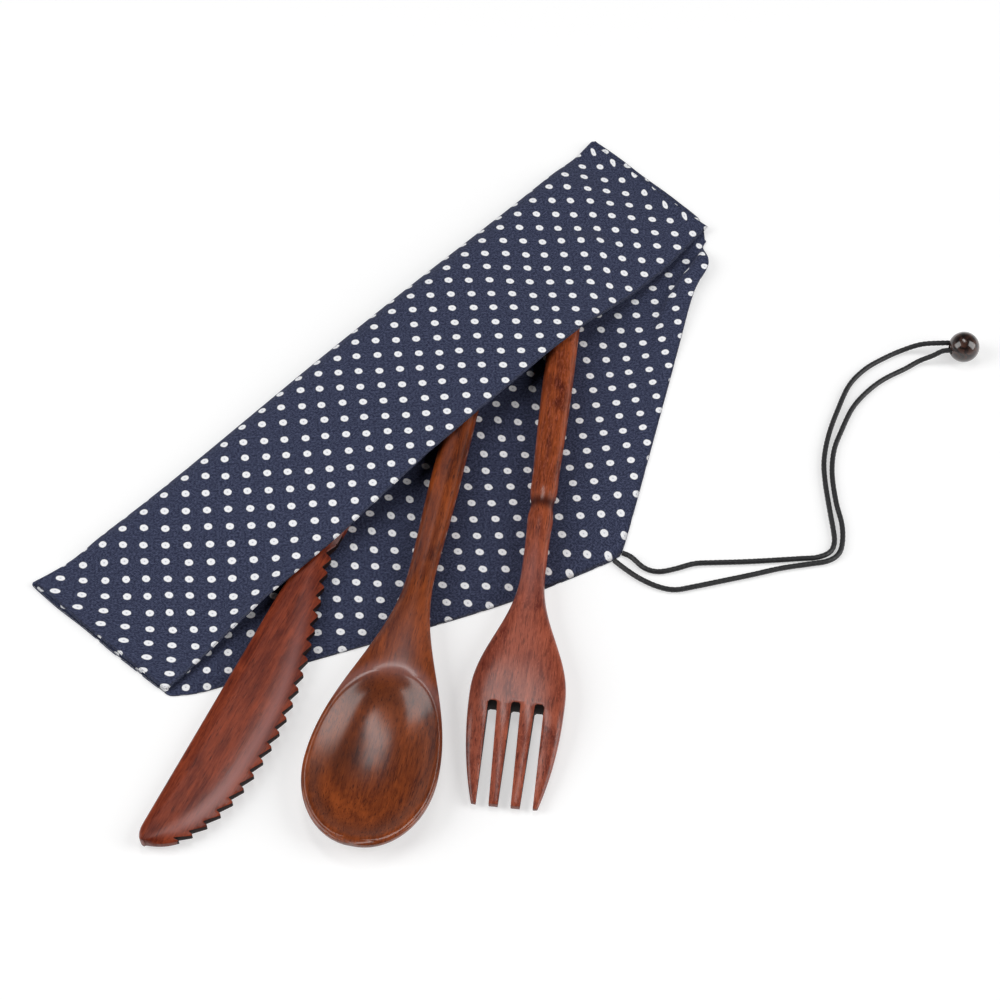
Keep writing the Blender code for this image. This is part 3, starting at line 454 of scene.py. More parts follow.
def sewn_cloth(name, grid, outer_print, inner_print):
    """A closed sheet round the grid: two faces and a thin rounded hem that joins them."""
    rows, columns = grid.shape[:2]
    normal = unit(np.cross(np.gradient(grid, axis=0), np.gradient(grid, axis=1)))
    from_edge = np.minimum(
        np.linalg.norm(grid - grid[:, :1], axis=2), np.linalg.norm(grid - grid[:, -1:], axis=2)
    )
    thick = HEM + (CLOTH - HEM) * smoothstep(from_edge / HEM_TAPER)[..., None]
    outer, inner = grid - normal * CLOTH / 2, grid + normal * (thick - CLOTH / 2)
    points = [outer.reshape(-1, 3), inner.reshape(-1, 3)]
    prints = [outer_print.reshape(-1, 2), inner_print.reshape(-1, 2)]
    faces = [grid_faces(rows, columns, 0, False), grid_faces(rows, columns, rows * columns, True)]
    ring = [(i, 0) for i in range(rows - 1)] + [(rows - 1, j) for j in range(columns - 1)]
    ring += [(i, columns - 1) for i in range(rows - 1, 0, -1)] + [(0, j) for j in range(columns - 1, 0, -1)]
    ring = np.array(ring)
    i, j = ring[:, 0], ring[:, 1]
    inner_i, inner_j = np.clip(i, 1, rows - 2), np.clip(j, 1, columns - 2)
    outward = unit(grid[i, j] - grid[inner_i, inner_j])
    edge, across = (outer[i, j] + inner[i, j]) / 2, (inner[i, j] - outer[i, j]) / 2
    half = np.linalg.norm(across, axis=1, keepdims=True)
    bands = [i * columns + j]
    start = 2 * rows * columns
    for turn in (45, 90, 135):
        angle = math.radians(turn)
        points.append(edge + 0.6 * math.sin(angle) * half * outward - math.cos(angle) * across)
        prints.append(outer_print[i, j])
        bands.append(np.arange(start, start + len(ring)))
        start += len(ring)
    bands.append(rows * columns + i * columns + j)
    for low, high in zip(bands, bands[1:]):
        faces.append(np.stack([low, high, np.roll(high, -1), np.roll(low, -1)], -1))
    obj = new_object(name, np.concatenate(points), np.concatenate(faces))
    corner = np.zeros(len(obj.data.loops), int)
    obj.data.loops.foreach_get("vertex_index", corner)
    layer = obj.data.uv_layers.new(name="print")
    layer.uv.foreach_set("vector", np.concatenate(prints)[corner].astype(np.float32).ravel())
    return obj


def mix_colours(tree, share, first, second, mode="MIX"):
    made = node(tree, "ShaderNodeMix", {0: share, 6: first, 7: second}, data_type="RGBA", blend_type=mode)
    return made.outputs[2]


def vectors(tree, operation, first, second=(0.0, 0.0, 0.0)):
    return node(tree, "ShaderNodeVectorMath", {0: first, 1: second}, operation=operation).outputs[0]


def noise(tree, place, scale, detail, **more):
    inputs = {"Vector": place, "Scale": scale, "Detail": detail, **more}
    return node(tree, "ShaderNodeTexNoise", inputs).outputs[0]


def from_nearest_dot(tree, place):
    """How far a point lies from its dot's middle, which sits by chance a little off the lattice."""
    cell = vectors(tree, "FLOOR", vectors(tree, "ADD", place, (0.5, 0.5, 0.0)))
    local = vectors(tree, "SUBTRACT", place, cell)
    chance = node(tree, "ShaderNodeTexWhiteNoise", {"Vector": cell}, noise_dimensions="3D")
    drift = vectors(tree, "SUBTRACT", chance.outputs["Color"], (0.5, 0.5, 0.5))
    small = node(tree, "ShaderNodeVectorMath", {0: drift, "Scale": DOT_DRIFT}, operation="SCALE")
    flat = vectors(tree, "MULTIPLY", vectors(tree, "SUBTRACT", local, small.outputs[0]), (1.0, 1.0, 0.0))
    away = node(tree, "ShaderNodeVectorMath", {0: flat}, operation="LENGTH").outputs["Value"]
    fray = maths(tree, "MULTIPLY_ADD", noise(tree, place, 9.0, 2.0), DOT_FRAY, -DOT_FRAY / 2)
    return maths(tree, "ADD", away, fray)


def plain_weave(tree, place):
    """Threads that cross at right angles, along the pouch and across it."""
    turned = node(tree, "ShaderNodeMapping", {"Vector": place, "Rotation": (0, 0, math.radians(45))})
    inputs = {"Vector": turned.outputs[0], "Scale": THREAD_SCALE, "Distortion": 0.6, "Detail": 1.0}
    along = node(tree, "ShaderNodeTexWave", inputs, bands_direction="X").outputs["Fac"]
    across = node(tree, "ShaderNodeTexWave", inputs, bands_direction="Y").outputs["Fac"]
    return maths(tree, "MULTIPLY", along, across)


def dotted_cotton():
    """Navy cotton with a fine plain weave and matt white printed dots."""
    material, tree, shader = new_material("dotted_cotton")
    place = node(tree, "ShaderNodeUVMap", uv_map="print").outputs["UV"]
    away = from_nearest_dot(tree, place)
    radius, mark_size = DOT_RADIUS / DOT_PITCH, DOT_MARK / DOT_PITCH
    ink = map_range(
        tree, away, radius - DOT_SOFTNESS, radius + DOT_SOFTNESS, 1.0, 0.0, interpolation_type="SMOOTHSTEP"
    )
    mark = map_range(tree, away, 0.4 * mark_size, 1.5 * mark_size, DOT_MARK_SHARE, 0.0)
    weave = plain_weave(tree, place)
    mottle = noise(tree, place, 9.5, 3.0, Roughness=0.85)
    shade = maths(tree, "MULTIPLY_ADD", weave, 0.40, maths(tree, "MULTIPLY_ADD", mottle, 5.2, -2.30))
    navy = mix_colours(tree, shade, (0.014, 0.018, 0.044, 1.0), (0.068, 0.080, 0.146, 1.0))
    white = mix_colours(tree, mottle, (0.86, 0.87, 0.90, 1.0), (0.97, 0.97, 0.98, 1.0))
    white = mix_colours(tree, mark, white, (0.30, 0.33, 0.42, 1.0))
    tree.links.new(mix_colours(tree, ink, navy, white), shader.inputs["Base Color"])
    shader.inputs["Roughness"].default_value = 0.86
    shader.inputs["Specular IOR Level"].default_value = 0.22
    shader.inputs["Sheen Weight"].default_value = 0.06
    shader.inputs["Sheen Roughness"].default_value = 0.45
    rise = maths(tree, "ADD", weave, maths(tree, "MULTIPLY", mottle, 0.6))
    bump = node(tree, "ShaderNodeBump", {"Height": rise, "Strength": 0.35, "Distance": 0.00012})
    tree.links.new(bump.outputs[0], shader.inputs["Normal"])
    return material


point_place = (FLAP_POINT_X - POUCH_MIDDLE_X) / (POUCH_HALF - END_DRAW)
near_point = point_place + np.array([-0.003, -0.0015, 0.0, 0.0015, 0.003]) / POUCH_HALF
near_ends = 1 - np.array([0.0003, 0.0008, 0.0016]) / POUCH_HALF
strip_places = np.unique(np.concatenate([np.linspace(-1, 1, STRIPS + 1), near_point, near_ends, -near_ends]))
cloth, cloth_run, end_shift = cloth_grid(strip_places)
print_u = (strip_places[:, None] * POUCH_HALF + end_shift) / UNIT_ALONG
pulled = OUTER_END_PULL * (1 - smoothstep((1 + strip_places[:, None]) * POUCH_HALF / OUTER_PULL_RUN))
outer_v = (cloth_run - OUTER_START) / UNIT_ACROSS
outer_lattice = print_places(OUTER_PRINT, print_u - pulled, outer_v, (-1.3, 1.3), (-2.5, 1.4))
inner_u = (print_u * UNIT_ALONG + POUCH_MIDDLE_X) / UNIT_ALONG
inner_u = inner_u + INNER_END_PULL * (1 - smoothstep((inner_u - INNER_PULL_START) / INNER_PULL_RUN))
inner_lattice = print_places(INNER_PRINT, inner_u, cloth_run / UNIT_ACROSS, (-1.2, 1.1), (-1.4, 0.8))
pouch = sewn_cloth("pouch_cloth", cloth, outer_lattice, inner_lattice)
pouch.data.materials.append(dotted_cotton())
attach(pouch, "root")
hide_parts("pouch")

# The knife: one flat piece of red-brown wood, sanded thin towards its edge, with saw teeth cut in
# the bevel and a lacquer that leaves a satin shine. It rests in the pouch on the back layer.
KNIFE_LENGTH = 0.2086
KNIFE_THICKNESS = 0.0040
KNIFE_HANDLE_WIDTH = 0.0084
BLADE_LENGTH = 0.1120
BLADE_WIDTH = 0.0223
BLADE_BELLY_FROM_TIP = 0.0435
BEVEL_WIDTH = 0.0065
BEVEL_EDGE = 0.0018
BEVEL_START = 0.012
BEVEL_LEAST = 0.0014
BEVEL_GLINT = 0.0044
BEVEL_GLINT_SPREAD = 0.0019
BLADE_LEAST = 0.0012
BACK_EASE = 0.0013
HANDLE_EDGE = KNIFE_THICKNESS - 0.0018
TOOTH_PITCH = 0.0052
TOOTH_DEPTH = 0.0019
# Along each tooth from the tip's side: the share of its length, and of its depth that is cut away.
TOOTH_SHAPE = (
    (0.0, 0.94), (0.03, 1.0), (0.10, 0.96), (0.74, 0.07), (0.80, -0.02), (0.86, 0.02), (0.92, 0.20),
)
TEETH_FROM_TIP = 0.0045
TEETH_CLEAR = 0.006
KNIFE_NOSE = 0.0050
SLOPE_PROBE = 0.0005
CUT_FROM = -0.002
KNIFE_CUT_TO = 0.012
KNIFE_EDGE_EASE = 0.00018
SHARP_ANGLE = math.radians(38)
# Pale colour of the painted highlights on the knife's bevel and the spoon's crest, and of the fork's lighter
# grain.
HIGHLIGHT_AND_GRAIN_PALE = (0.36, 0.165, 0.150, 1.0)


def loft(name, rings, smooth_angle=None):
    """One closed body through rings that have the same number of points."""
    rings = np.asarray(rings, float)
    count, size = rings.shape[:2]
    faces = []
    for i in range(count - 1):
        for j in range(size):
            k = (j + 1) % size
            faces.append((i * size + j, (i + 1) * size + j, (i + 1) * size + k, i * size + k))
    faces.append(tuple(range(size)))
    faces.append(tuple(reversed(range((count - 1) * size, count * size))))
    return new_object(name, rings, faces, smooth_angle)


def prism(name, outline, low, high):
    size = len(outline)
    points = [(x, y, low) for x, y in outline] + [(x, y, high) for x, y in outline]
    faces = [(j, (j + 1) % size, (j + 1) % size + size, j + size) for j in range(size)]
    faces += [tuple(reversed(range(size))), tuple(range(size, 2 * size))]
    return new_object(name, points, faces)


def outward_faces(obj):
    work = bmesh.new()
    work.from_mesh(obj.data)
    bmesh.ops.recalc_face_normals(work, faces=work.faces)
    work.to_mesh(obj.data)
    work.free()


def carve(obj, cutters, ease):
    """Cuts the waste away, then eases the new edges by a hair, as sanding does."""
    for cutter in cutters:
        outward_faces(cutter)
        step = obj.modifiers.new(cutter.name, "BOOLEAN")
        step.operation = "DIFFERENCE"
        step.solver = "EXACT"
        step.object = cutter
    if ease:
        soften = obj.modifiers.new("ease", "BEVEL")
        soften.width = ease
        soften.segments = 2
        soften.limit_method = "ANGLE"
        soften.angle_limit = SHARP_ANGLE
    graph = bpy.context.evaluated_depsgraph_get()
    done = bpy.data.meshes.new_from_object(obj.evaluated_get(graph))
    obj.modifiers.clear()
    obj.data = done
    for cutter in cutters:
        bpy.data.objects.remove(cutter)
    done.shade_smooth()
    done.set_sharp_from_angle(angle=SHARP_ANGLE)


def lay_down(obj, lies, cad_node):
    """Puts a utensil, made along its own length from its handle's end, in its place in the pouch."""
    end_x, inset, angle = lies
    obj.location = (end_x, FOLD_Y - inset, 0.0)
    obj.rotation_euler = (0.0, 0.0, angle)
    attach(obj, "root")
    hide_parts(cad_node)


def rounded_end(from_end, half):
    return np.sqrt(np.clip(1 - (1 - np.minimum(from_end / half, 1.0)) ** 2, 0.0, 1.0))


def end_stations(half, count=10):
    return [half * (1 - math.cos(math.radians(4 + 86 * k / count))) for k in range(count + 1)]


def arc_stations(start, run, first, last, count):
    """Places that lie close together at the start and spread out, as on a quarter circle."""
    return [start + run * (1 - math.cos(math.radians(a))) for a in np.linspace(first, last, count)]


def bell(value):
    return math.exp(-(value**2))


def blade_width(from_tip):
    if from_tip <= BLADE_BELLY_FROM_TIP:
        return BLADE_WIDTH * (1 - (1 - from_tip / BLADE_BELLY_FROM_TIP) ** 2.4) ** 0.42
    if from_tip >= BLADE_LENGTH:
        return KNIFE_HANDLE_WIDTH
    share = (BLADE_LENGTH - from_tip) / (BLADE_LENGTH - BLADE_BELLY_FROM_TIP)
    return KNIFE_HANDLE_WIDTH + (BLADE_WIDTH - KNIFE_HANDLE_WIDTH) * math.sin(share * math.pi / 2) ** 1.25


def knife_back(from_tip):
    if from_tip >= KNIFE_NOSE:
        return 0.0
    return 0.55 * KNIFE_NOSE * (1 - math.sqrt(1 - (1 - from_tip / KNIFE_NOSE) ** 2))


def knife_top(back, ease, high):
    """Over the rounded back, in a quarter turn."""
    turns = np.linspace(0, math.pi / 2, 5)
    return [(back + ease * (1 - math.cos(t)), high - 1.2 * ease * (1 - math.sin(t))) for t in turns]


def knife_bevel(shoulder, bevel, high, drop):
    """Down the bevel, which starts softly at its shoulder and then runs straight."""
    points = []
    for k in range(9):
        t = k / 8
        fall = (math.sqrt(t * t + 0.03) - math.sqrt(0.03)) / (math.sqrt(1.03) - math.sqrt(0.03))
        points.append((shoulder + bevel * (t - 0.10 * (1 - t)), high - drop * fall))
    return points


def knife_ring(from_tip):
    """The section: over the top from the rounded back to the bevel's edge, and under it back."""
    back = knife_back(from_tip)
    width = max(blade_width(from_tip), back + BLADE_LEAST)
    blade = float(smoothstep((BLADE_LENGTH + BEVEL_START / 2 - from_tip) / BEVEL_START))
    bevel = BEVEL_LEAST + (min(BEVEL_WIDTH, 0.45 * (width - back)) - BEVEL_LEAST) * blade
    edge = HANDLE_EDGE + (BEVEL_EDGE - HANDLE_EDGE) * blade
    middle = KNIFE_HANDLE_WIDTH / 2
    from_end = KNIFE_LENGTH - from_tip
    share = float(rounded_end(from_end, middle))
    if share < 1:
        back, width = middle - middle * share, middle + middle * share
        bevel = min(bevel, 0.3 * (width - back))
    low, high = SEAT, SEAT + KNIFE_THICKNESS
    low_edge = low + (KNIFE_THICKNESS - edge) * 0.45
    ease = min(BACK_EASE, 0.3 * (width - back))
    inner, shoulder = back + ease, width - bevel
    section = knife_top(back, ease, high)
    section += [(inner + (shoulder - inner) * k / 4, high) for k in (1, 2, 3)]
    section += knife_bevel(shoulder, bevel, high, high - (low_edge + edge))
    section += [(width, low_edge), (width - 0.5 * bevel, low + 0.42 * (low_edge - low)), (shoulder, low)]
    section += [(inner + (shoulder - inner) * k / 3, low) for k in (2, 1)]
    section += [(back + ease * (1 - math.sin(t)), low + 1.2 * ease * (1 - math.cos(t)))
                for t in np.linspace(0, math.pi / 2, 4)]
    return [(from_end, across - middle, height) for across, height in section]


def edge_slope(from_tip):
    return (blade_width(from_tip + SLOPE_PROBE) - blade_width(from_tip)) / SLOPE_PROBE


def teeth_outline():
    """Each tooth rises slowly from the tip side and drops steeply towards the handle."""
    outline = [(TEETH_FROM_TIP, BLADE_WIDTH + TEETH_CLEAR)]
    at = TEETH_FROM_TIP
    while at < BLADE_LENGTH:
        step = TOOTH_PITCH / math.hypot(1.0, edge_slope(at))
        for share, drop in TOOTH_SHAPE:
            here = at + share * step
            outline.append((here, blade_width(here) - drop * TOOTH_DEPTH))
        at += step
    outline += [(at, blade_width(at) + TOOTH_DEPTH), (at, BLADE_WIDTH + TEETH_CLEAR)]
    half_handle = KNIFE_HANDLE_WIDTH / 2
    return [(KNIFE_LENGTH - d, across - half_handle) for d, across in outline]


def grain(tree, seed, scale, detail, rough, shift=0.0, distortion=0.0):
    """Noise that is stretched along the wood."""
    place = node(tree, "ShaderNodeTexCoord").outputs["Object"]
    inputs = {"Vector": place, "Location": (seed + shift, seed, shift), "Scale": scale}
    stretched = node(tree, "ShaderNodeMapping", inputs).outputs[0]
    return noise(tree, stretched, 1.0, detail, Roughness=rough, Distortion=distortion)


def point_share(tree, name, most=1.0):
    share = node(tree, "ShaderNodeAttribute", attribute_name=name).outputs["Fac"]
    return share if most == 1.0 else maths(tree, "MULTIPLY", share, most)


def times(colour, *factors):
    return (*(value * factor for value, factor in zip(colour, factors)), 1.0)


def lacquered_wood(name, dark, light, gloss, seed, streak=1.0, fleck=1.0):
    """Wood with bands, fine streaks and short flecks along its length under a clear lacquer. Point
    attributes change it: a painted highlight, pale on the knife's bevel and the spoon's crest, which
    also makes the fork's grain lighter; painted shade, darker in the spoon's bowl and down one side of
    the fork's head, which also darkens the fork's turned ring; and a richer tone on a handle."""
    material, tree, shader = new_material(name)
    bands = grain(tree, seed, (26.0, 330.0, 330.0), 4.0, 0.6, 0.0, 0.8)
    fibres = grain(tree, seed, (130.0, 1300.0, 1300.0), 4.0, 0.75, 3.1)
    patches = grain(tree, seed, (55.0, 120.0, 120.0), 3.0, 0.6, 7.7, 0.6)
    flecks = grain(tree, seed, (430.0, 1500.0, 1500.0), 3.0, 0.75, 5.3, 0.9)
    pores = grain(tree, seed, (260.0, 2900.0, 2900.0), 2.0, 0.6, 9.1)
    figure = maths(tree, "MULTIPLY_ADD", bands, 1.1 * streak, maths(tree, "MULTIPLY", fibres, 1.5 * streak))
    figure = maths(tree, "MULTIPLY_ADD", patches, 1.7, figure)
    middle = 0.85 + 1.30 * streak
    rich = point_share(tree, "rich")
    low = mix_colours(tree, rich, (*dark, 1.0), times(dark, 0.55, 0.50, 0.40))
    high = mix_colours(tree, rich, (*light, 1.0), times(light, 1.0, 0.88, 0.40))
    ground = mix_colours(tree, map_range(tree, figure, middle - 0.36, middle + 0.36, 0.0, 1.0), low, high)
    bright = tuple(min(1.0, 1.25 * value + 0.008) for value in light)
    fleck_share = map_range(tree, flecks, 0.50, 0.72, 0.0, 0.70 * fleck)
    ground = mix_colours(tree, fleck_share, ground, (*bright, 1.0))
    deep = times(dark, 0.30, 0.30, 0.30)
    ground = mix_colours(tree, map_range(tree, pores, 0.55, 0.70, 0.0, 0.75), ground, deep)
    # Painted highlight: pale on the knife's bevel and the spoon's crest; lighter grain on the fork.
    ground = mix_colours(tree, point_share(tree, "pale", 0.62), ground, HIGHLIGHT_AND_GRAIN_PALE)
    # Painted shade: darker in the spoon's bowl and down one side of the fork's head; also a darker band in
    # the fork's ring.
    ground = mix_colours(tree, point_share(tree, "stain", 0.95), ground, deep)
    tree.links.new(ground, shader.inputs["Base Color"])
    for socket, value in zip(("Roughness", "Coat Weight", "Coat Roughness"), gloss):
        shader.inputs[socket].default_value = value
    shader.inputs["Specular IOR Level"].default_value = 0.12
    rise = maths(tree, "ADD", fibres, maths(tree, "MULTIPLY", pores, 0.8))
    bump = node(tree, "ShaderNodeBump", {"Height": rise, "Strength": 0.30, "Distance": 0.00010})
    tree.links.new(bump.outputs[0], shader.inputs["Normal"])
    return material


def shaded_cut_wood():
    """Painted shade: the walls that the saw leaves, painted nearly black and hardly shining."""
    material, tree, shader = new_material("shaded_cut_wood")
    burr = noise(tree, node(tree, "ShaderNodeTexCoord").outputs["Object"], 1500.0, 3.0)
    shade = mix_colours(tree, burr, (0.006, 0.003, 0.003, 1.0), (0.026, 0.010, 0.008, 1.0))
    tree.links.new(shade, shader.inputs["Base Color"])
    shader.inputs["Roughness"].default_value = 0.6
    shader.inputs["Specular IOR Level"].default_value = 0.15
    return material


def finish_wood(obj, wood, walls, is_cut, **shares):
    """Gives the piece its wood, the saw's walls the darker one with painted shade, and the shares to its
    points.
    """
    mesh = obj.data
    mesh.materials.append(wood)
    if walls:
        mesh.materials.append(walls)
        for face in mesh.polygons:
            upright = abs(face.normal.z) < 0.5
            face.material_index = int(upright and is_cut(*face.center))
    for name, share_at in shares.items():
        layer = mesh.attributes.new(name, "FLOAT", "POINT")
        for spot, vertex in zip(layer.data, mesh.vertices):
            spot.value = float(share_at(*vertex.co))


def bevel_highlight(x, y, z):
    """Painted highlight: how far a point of the knife's top lies in the pale band along the bevel by the
    teeth.
    """
    from_tip = KNIFE_LENGTH - x
    if from_tip > BLADE_LENGTH or from_tip < 0 or z < SEAT + KNIFE_THICKNESS / 3:
        return 0.0
    from_edge = blade_width(max(from_tip, 1e-4)) - y - KNIFE_HANDLE_WIDTH / 2
    start = smoothstep(from_tip / BEVEL_START) * smoothstep((BLADE_LENGTH - from_tip) / 0.060)
    return start * bell((from_edge - BEVEL_GLINT) / BEVEL_GLINT_SPREAD)


def by_the_teeth(x, y, z):
    from_tip = KNIFE_LENGTH - x
    if from_tip > BLADE_LENGTH + TOOTH_PITCH or from_tip < TEETH_FROM_TIP - 0.0002:
        return False
    return y + KNIFE_HANDLE_WIDTH / 2 > blade_width(from_tip) - 1.3 * TOOTH_DEPTH


belly_stations = arc_stations(0.0, BLADE_BELLY_FROM_TIP, 3, 90, 44)
blade_stations = list(np.linspace(BLADE_BELLY_FROM_TIP, BLADE_LENGTH + 0.008, 60))[1:]
knife_last = KNIFE_LENGTH - KNIFE_HANDLE_WIDTH / 2
knife_stations = belly_stations + blade_stations
knife_stations += list(np.linspace(blade_stations[-1], knife_last, 24))[1:-1]
knife_stations += [KNIFE_LENGTH - d for d in reversed(end_stations(KNIFE_HANDLE_WIDTH / 2))]
knife = loft("knife_wood", [knife_ring(d) for d in knife_stations])
outward_faces(knife)
carve(knife, [prism("teeth_cutter", teeth_outline(), CUT_FROM, KNIFE_CUT_TO)], KNIFE_EDGE_EASE)
# Painted shade for the walls of the knife's teeth and the fork's slots.
shaded_cut_walls = shaded_cut_wood()
knife_wood = lacquered_wood(
    "knife_lacquer", (0.096, 0.011, 0.004), (0.262, 0.044, 0.015), (0.42, 0.36, 0.24), 2.0, 1.0, 0.25
)
# The pale band along the bevel is a painted highlight, and the teeth's walls get painted shade.
finish_wood(knife, knife_wood, shaded_cut_walls, by_the_teeth, pale=bevel_highlight)
lay_down(knife, KNIFE_LIES, "knife")

# The spoon: carved from one warm brown piece, with a deep hollow in a pointed oval bowl and a
# thick round handle, under a high gloss that mirrors the lamps.
SPOON_LENGTH = 0.2245
SPOON_HANDLE_WIDTH = 0.0096
SPOON_HANDLE_THICKNESS = 0.0082
SPOON_END_THICKNESS = 0.0050
SPOON_NECK_WIDTH = 0.0084
NECK_GROWTH = 0.0350
BOWL_WIDTH = 0.0394
BOWL_FRONT = 0.0248
BOWL_FLARE = 0.0710
BOWL_RIM_HEIGHT = 0.0092
BOWL_LIP = 0.0016
HOLLOW_LENGTH = 0.0546
HOLLOW_DEPTH = 0.0064
HOLLOW_RIM = 0.0020
HOLLOW_DEEPEST = 0.0300
HOLLOW_LEAST = 0.0008
HOLLOW_END = HOLLOW_RIM + HOLLOW_LENGTH
BOWL_ROUNDNESS = 2.05
RIM_DIP = 0.0005
CROWN_SHARE = 0.60
TOP_POINTS = 72
EDGE_ROUND = 0.0017
FIELD_STEP = 0.0004
FIELD_REACH = 11
UNDER_POINTS = 28
HANDLE_FROM_TIP = 0.140
# Heights by distance from the tip: underside, widest line and top.
SPOON_HEIGHTS = (
    (0.0000, 0.0072, 0.0080, 0.0086), (0.0248, 0.0003, 0.0092, 0.0092),
    (0.0400, 0.0004, 0.0093, 0.0093), (0.0520, 0.0012, 0.0090, 0.0094),
    (0.0640, 0.0021, 0.0080, 0.0095), (0.0780, 0.0024, 0.0064, 0.0092),
    (0.0960, 0.0020, 0.0054, 0.0088), (0.1180, 0.0013, 0.0052, 0.0092),
    (0.1400, 0.0013, 0.0054, 0.0095),
)


def behind_head(past, flare, power, growth, wide, neck, handle):
    """Half a width behind the head: it falls to the neck, then grows again to the handle."""
    behind = past / flare
    if behind < 1:
        return neck + (wide - neck) * math.cos(behind * math.pi / 2) ** power
    return neck + (handle - neck) * float(smoothstep((behind - 1) * flare / growth))


def handle_heights(from_end, thickness, end_thickness):
    thick = float(handle_thickness(from_end, thickness, end_thickness))
    return SEAT, SEAT + thick / 2, SEAT + thick


def drawn_in(from_end, handle_width, half, low, edge, top):
    """A section's half width, underside and top, smaller where the handle's end is rounded."""
    share = float(rounded_end(from_end, handle_width / 2))
    if share == 1:
        return half, low, top
    return half * share, edge - (edge - low) * share, edge + (top - edge) * share


def spoon_half_width(from_tip):
    neck, wide = SPOON_NECK_WIDTH / 2, BOWL_WIDTH / 2
    if from_tip <= BOWL_FRONT:
        return wide * (1 - (1 - from_tip / BOWL_FRONT) ** BOWL_ROUNDNESS) ** (1 / BOWL_ROUNDNESS)
    past = from_tip - BOWL_FRONT
    return behind_head(past, BOWL_FLARE, 2.2, NECK_GROWTH, wide, neck, SPOON_HANDLE_WIDTH / 2)


def hollow_half(from_tip, half_width):
    """Half the width of the hollow, whose outline lies a rim's width inside the bowl's own."""
    if from_tip >= HOLLOW_END:
        opening = float(smoothstep((from_tip - HOLLOW_END) / BOWL_FRONT))
        return HOLLOW_LEAST + (CROWN_SHARE * half_width - HOLLOW_LEAST) * opening
    if from_tip <= HOLLOW_RIM:
        return min(HOLLOW_LEAST, half_width / 2)
    if from_tip <= BOWL_FRONT:
        share = 1 - (from_tip - HOLLOW_RIM) / (BOWL_FRONT - HOLLOW_RIM)
        closing = (1 - share**BOWL_ROUNDNESS) ** (1 / BOWL_ROUNDNESS)
        return max((BOWL_WIDTH / 2 - HOLLOW_RIM) * closing, HOLLOW_LEAST)
    share = (from_tip - BOWL_FRONT) / (HOLLOW_END - BOWL_FRONT)
    return max((half_width - HOLLOW_RIM) * (1 - share**6) ** 0.5, HOLLOW_LEAST)


def sharp_depth(from_tip, aside):
    """Depth of the hollow as first cut: a long slope in front and a steeper wall at the neck."""
    half = hollow_half(from_tip, spoon_half_width(from_tip))
    if not HOLLOW_RIM < from_tip < HOLLOW_END or abs(aside) >= half:
        return 0.0
    if from_tip < HOLLOW_DEEPEST:
        closing = (1 - ((HOLLOW_DEEPEST - from_tip) / (HOLLOW_DEEPEST - HOLLOW_RIM)) ** 2) ** 0.85
    else:
        closing = (1 - ((from_tip - HOLLOW_DEEPEST) / (HOLLOW_END - HOLLOW_DEEPEST)) ** 2.6) ** 0.62
    return HOLLOW_DEPTH * closing * (1 - (abs(aside) / half) ** 2.4) ** 0.72


def hollow_field():
    """Depths over the whole bowl, with the edge rounded over as sanding leaves it."""
    margin = (FIELD_REACH + 1) * FIELD_STEP
    tips = np.arange(0.0, HOLLOW_END + margin, FIELD_STEP)
    asides = np.arange(-BOWL_WIDTH / 2, BOWL_WIDTH / 2 + FIELD_STEP, FIELD_STEP)
    depths = np.array([[sharp_depth(tip, aside) for aside in asides] for tip in tips])
    steps = np.arange(-FIELD_REACH, FIELD_REACH + 1)
    weights = np.exp(-((steps * FIELD_STEP / EDGE_ROUND) ** 2))
    weights /= weights.sum()
    for axis in (0, 1):
        depths = np.apply_along_axis(np.convolve, axis, depths, weights, "same")
    return depths


def hollow_depth(from_tip, aside):
    """The rounded depth at one place, read between the field's points."""
    row = from_tip / FIELD_STEP
    column = (aside + BOWL_WIDTH / 2) / FIELD_STEP
    i, j = int(row), int(column)
    if column < 0 or i + 1 >= HOLLOW_FIELD.shape[0] or j + 1 >= HOLLOW_FIELD.shape[1]:
        return 0.0
    near = HOLLOW_FIELD[i, j] * (i + 1 - row) + HOLLOW_FIELD[i + 1, j] * (row - i)
    far = HOLLOW_FIELD[i, j + 1] * (i + 1 - row) + HOLLOW_FIELD[i + 1, j + 1] * (row - i)
    return near * (j + 1 - column) + far * (column - j)


def spoon_heights(from_tip):
    """Heights of the underside, the widest line and the top, and how far the rim's side drops."""
    low, edge, top = (float(through(SPOON_HEIGHTS, from_tip, column)) for column in (1, 2, 3))
    if from_tip < BOWL_FRONT:
        steep = (1 - (1 - from_tip / BOWL_FRONT) ** 2.2) ** 0.5
        low = BOWL_RIM_HEIGHT - BOWL_LIP - (BOWL_RIM_HEIGHT - BOWL_LIP - PLAY) * steep
        edge = top = BOWL_RIM_HEIGHT - RIM_DIP * (1 - from_tip / BOWL_FRONT)
    elif from_tip > SPOON_HEIGHTS[-1][0]:
        from_end = SPOON_LENGTH - from_tip
        low, edge, top = handle_heights(from_end, SPOON_HANDLE_THICKNESS, SPOON_END_THICKNESS)
    lip = BOWL_LIP * (1 - float(smoothstep((from_tip - HOLLOW_LENGTH) / BOWL_FRONT)))
    return low, edge, top, lip


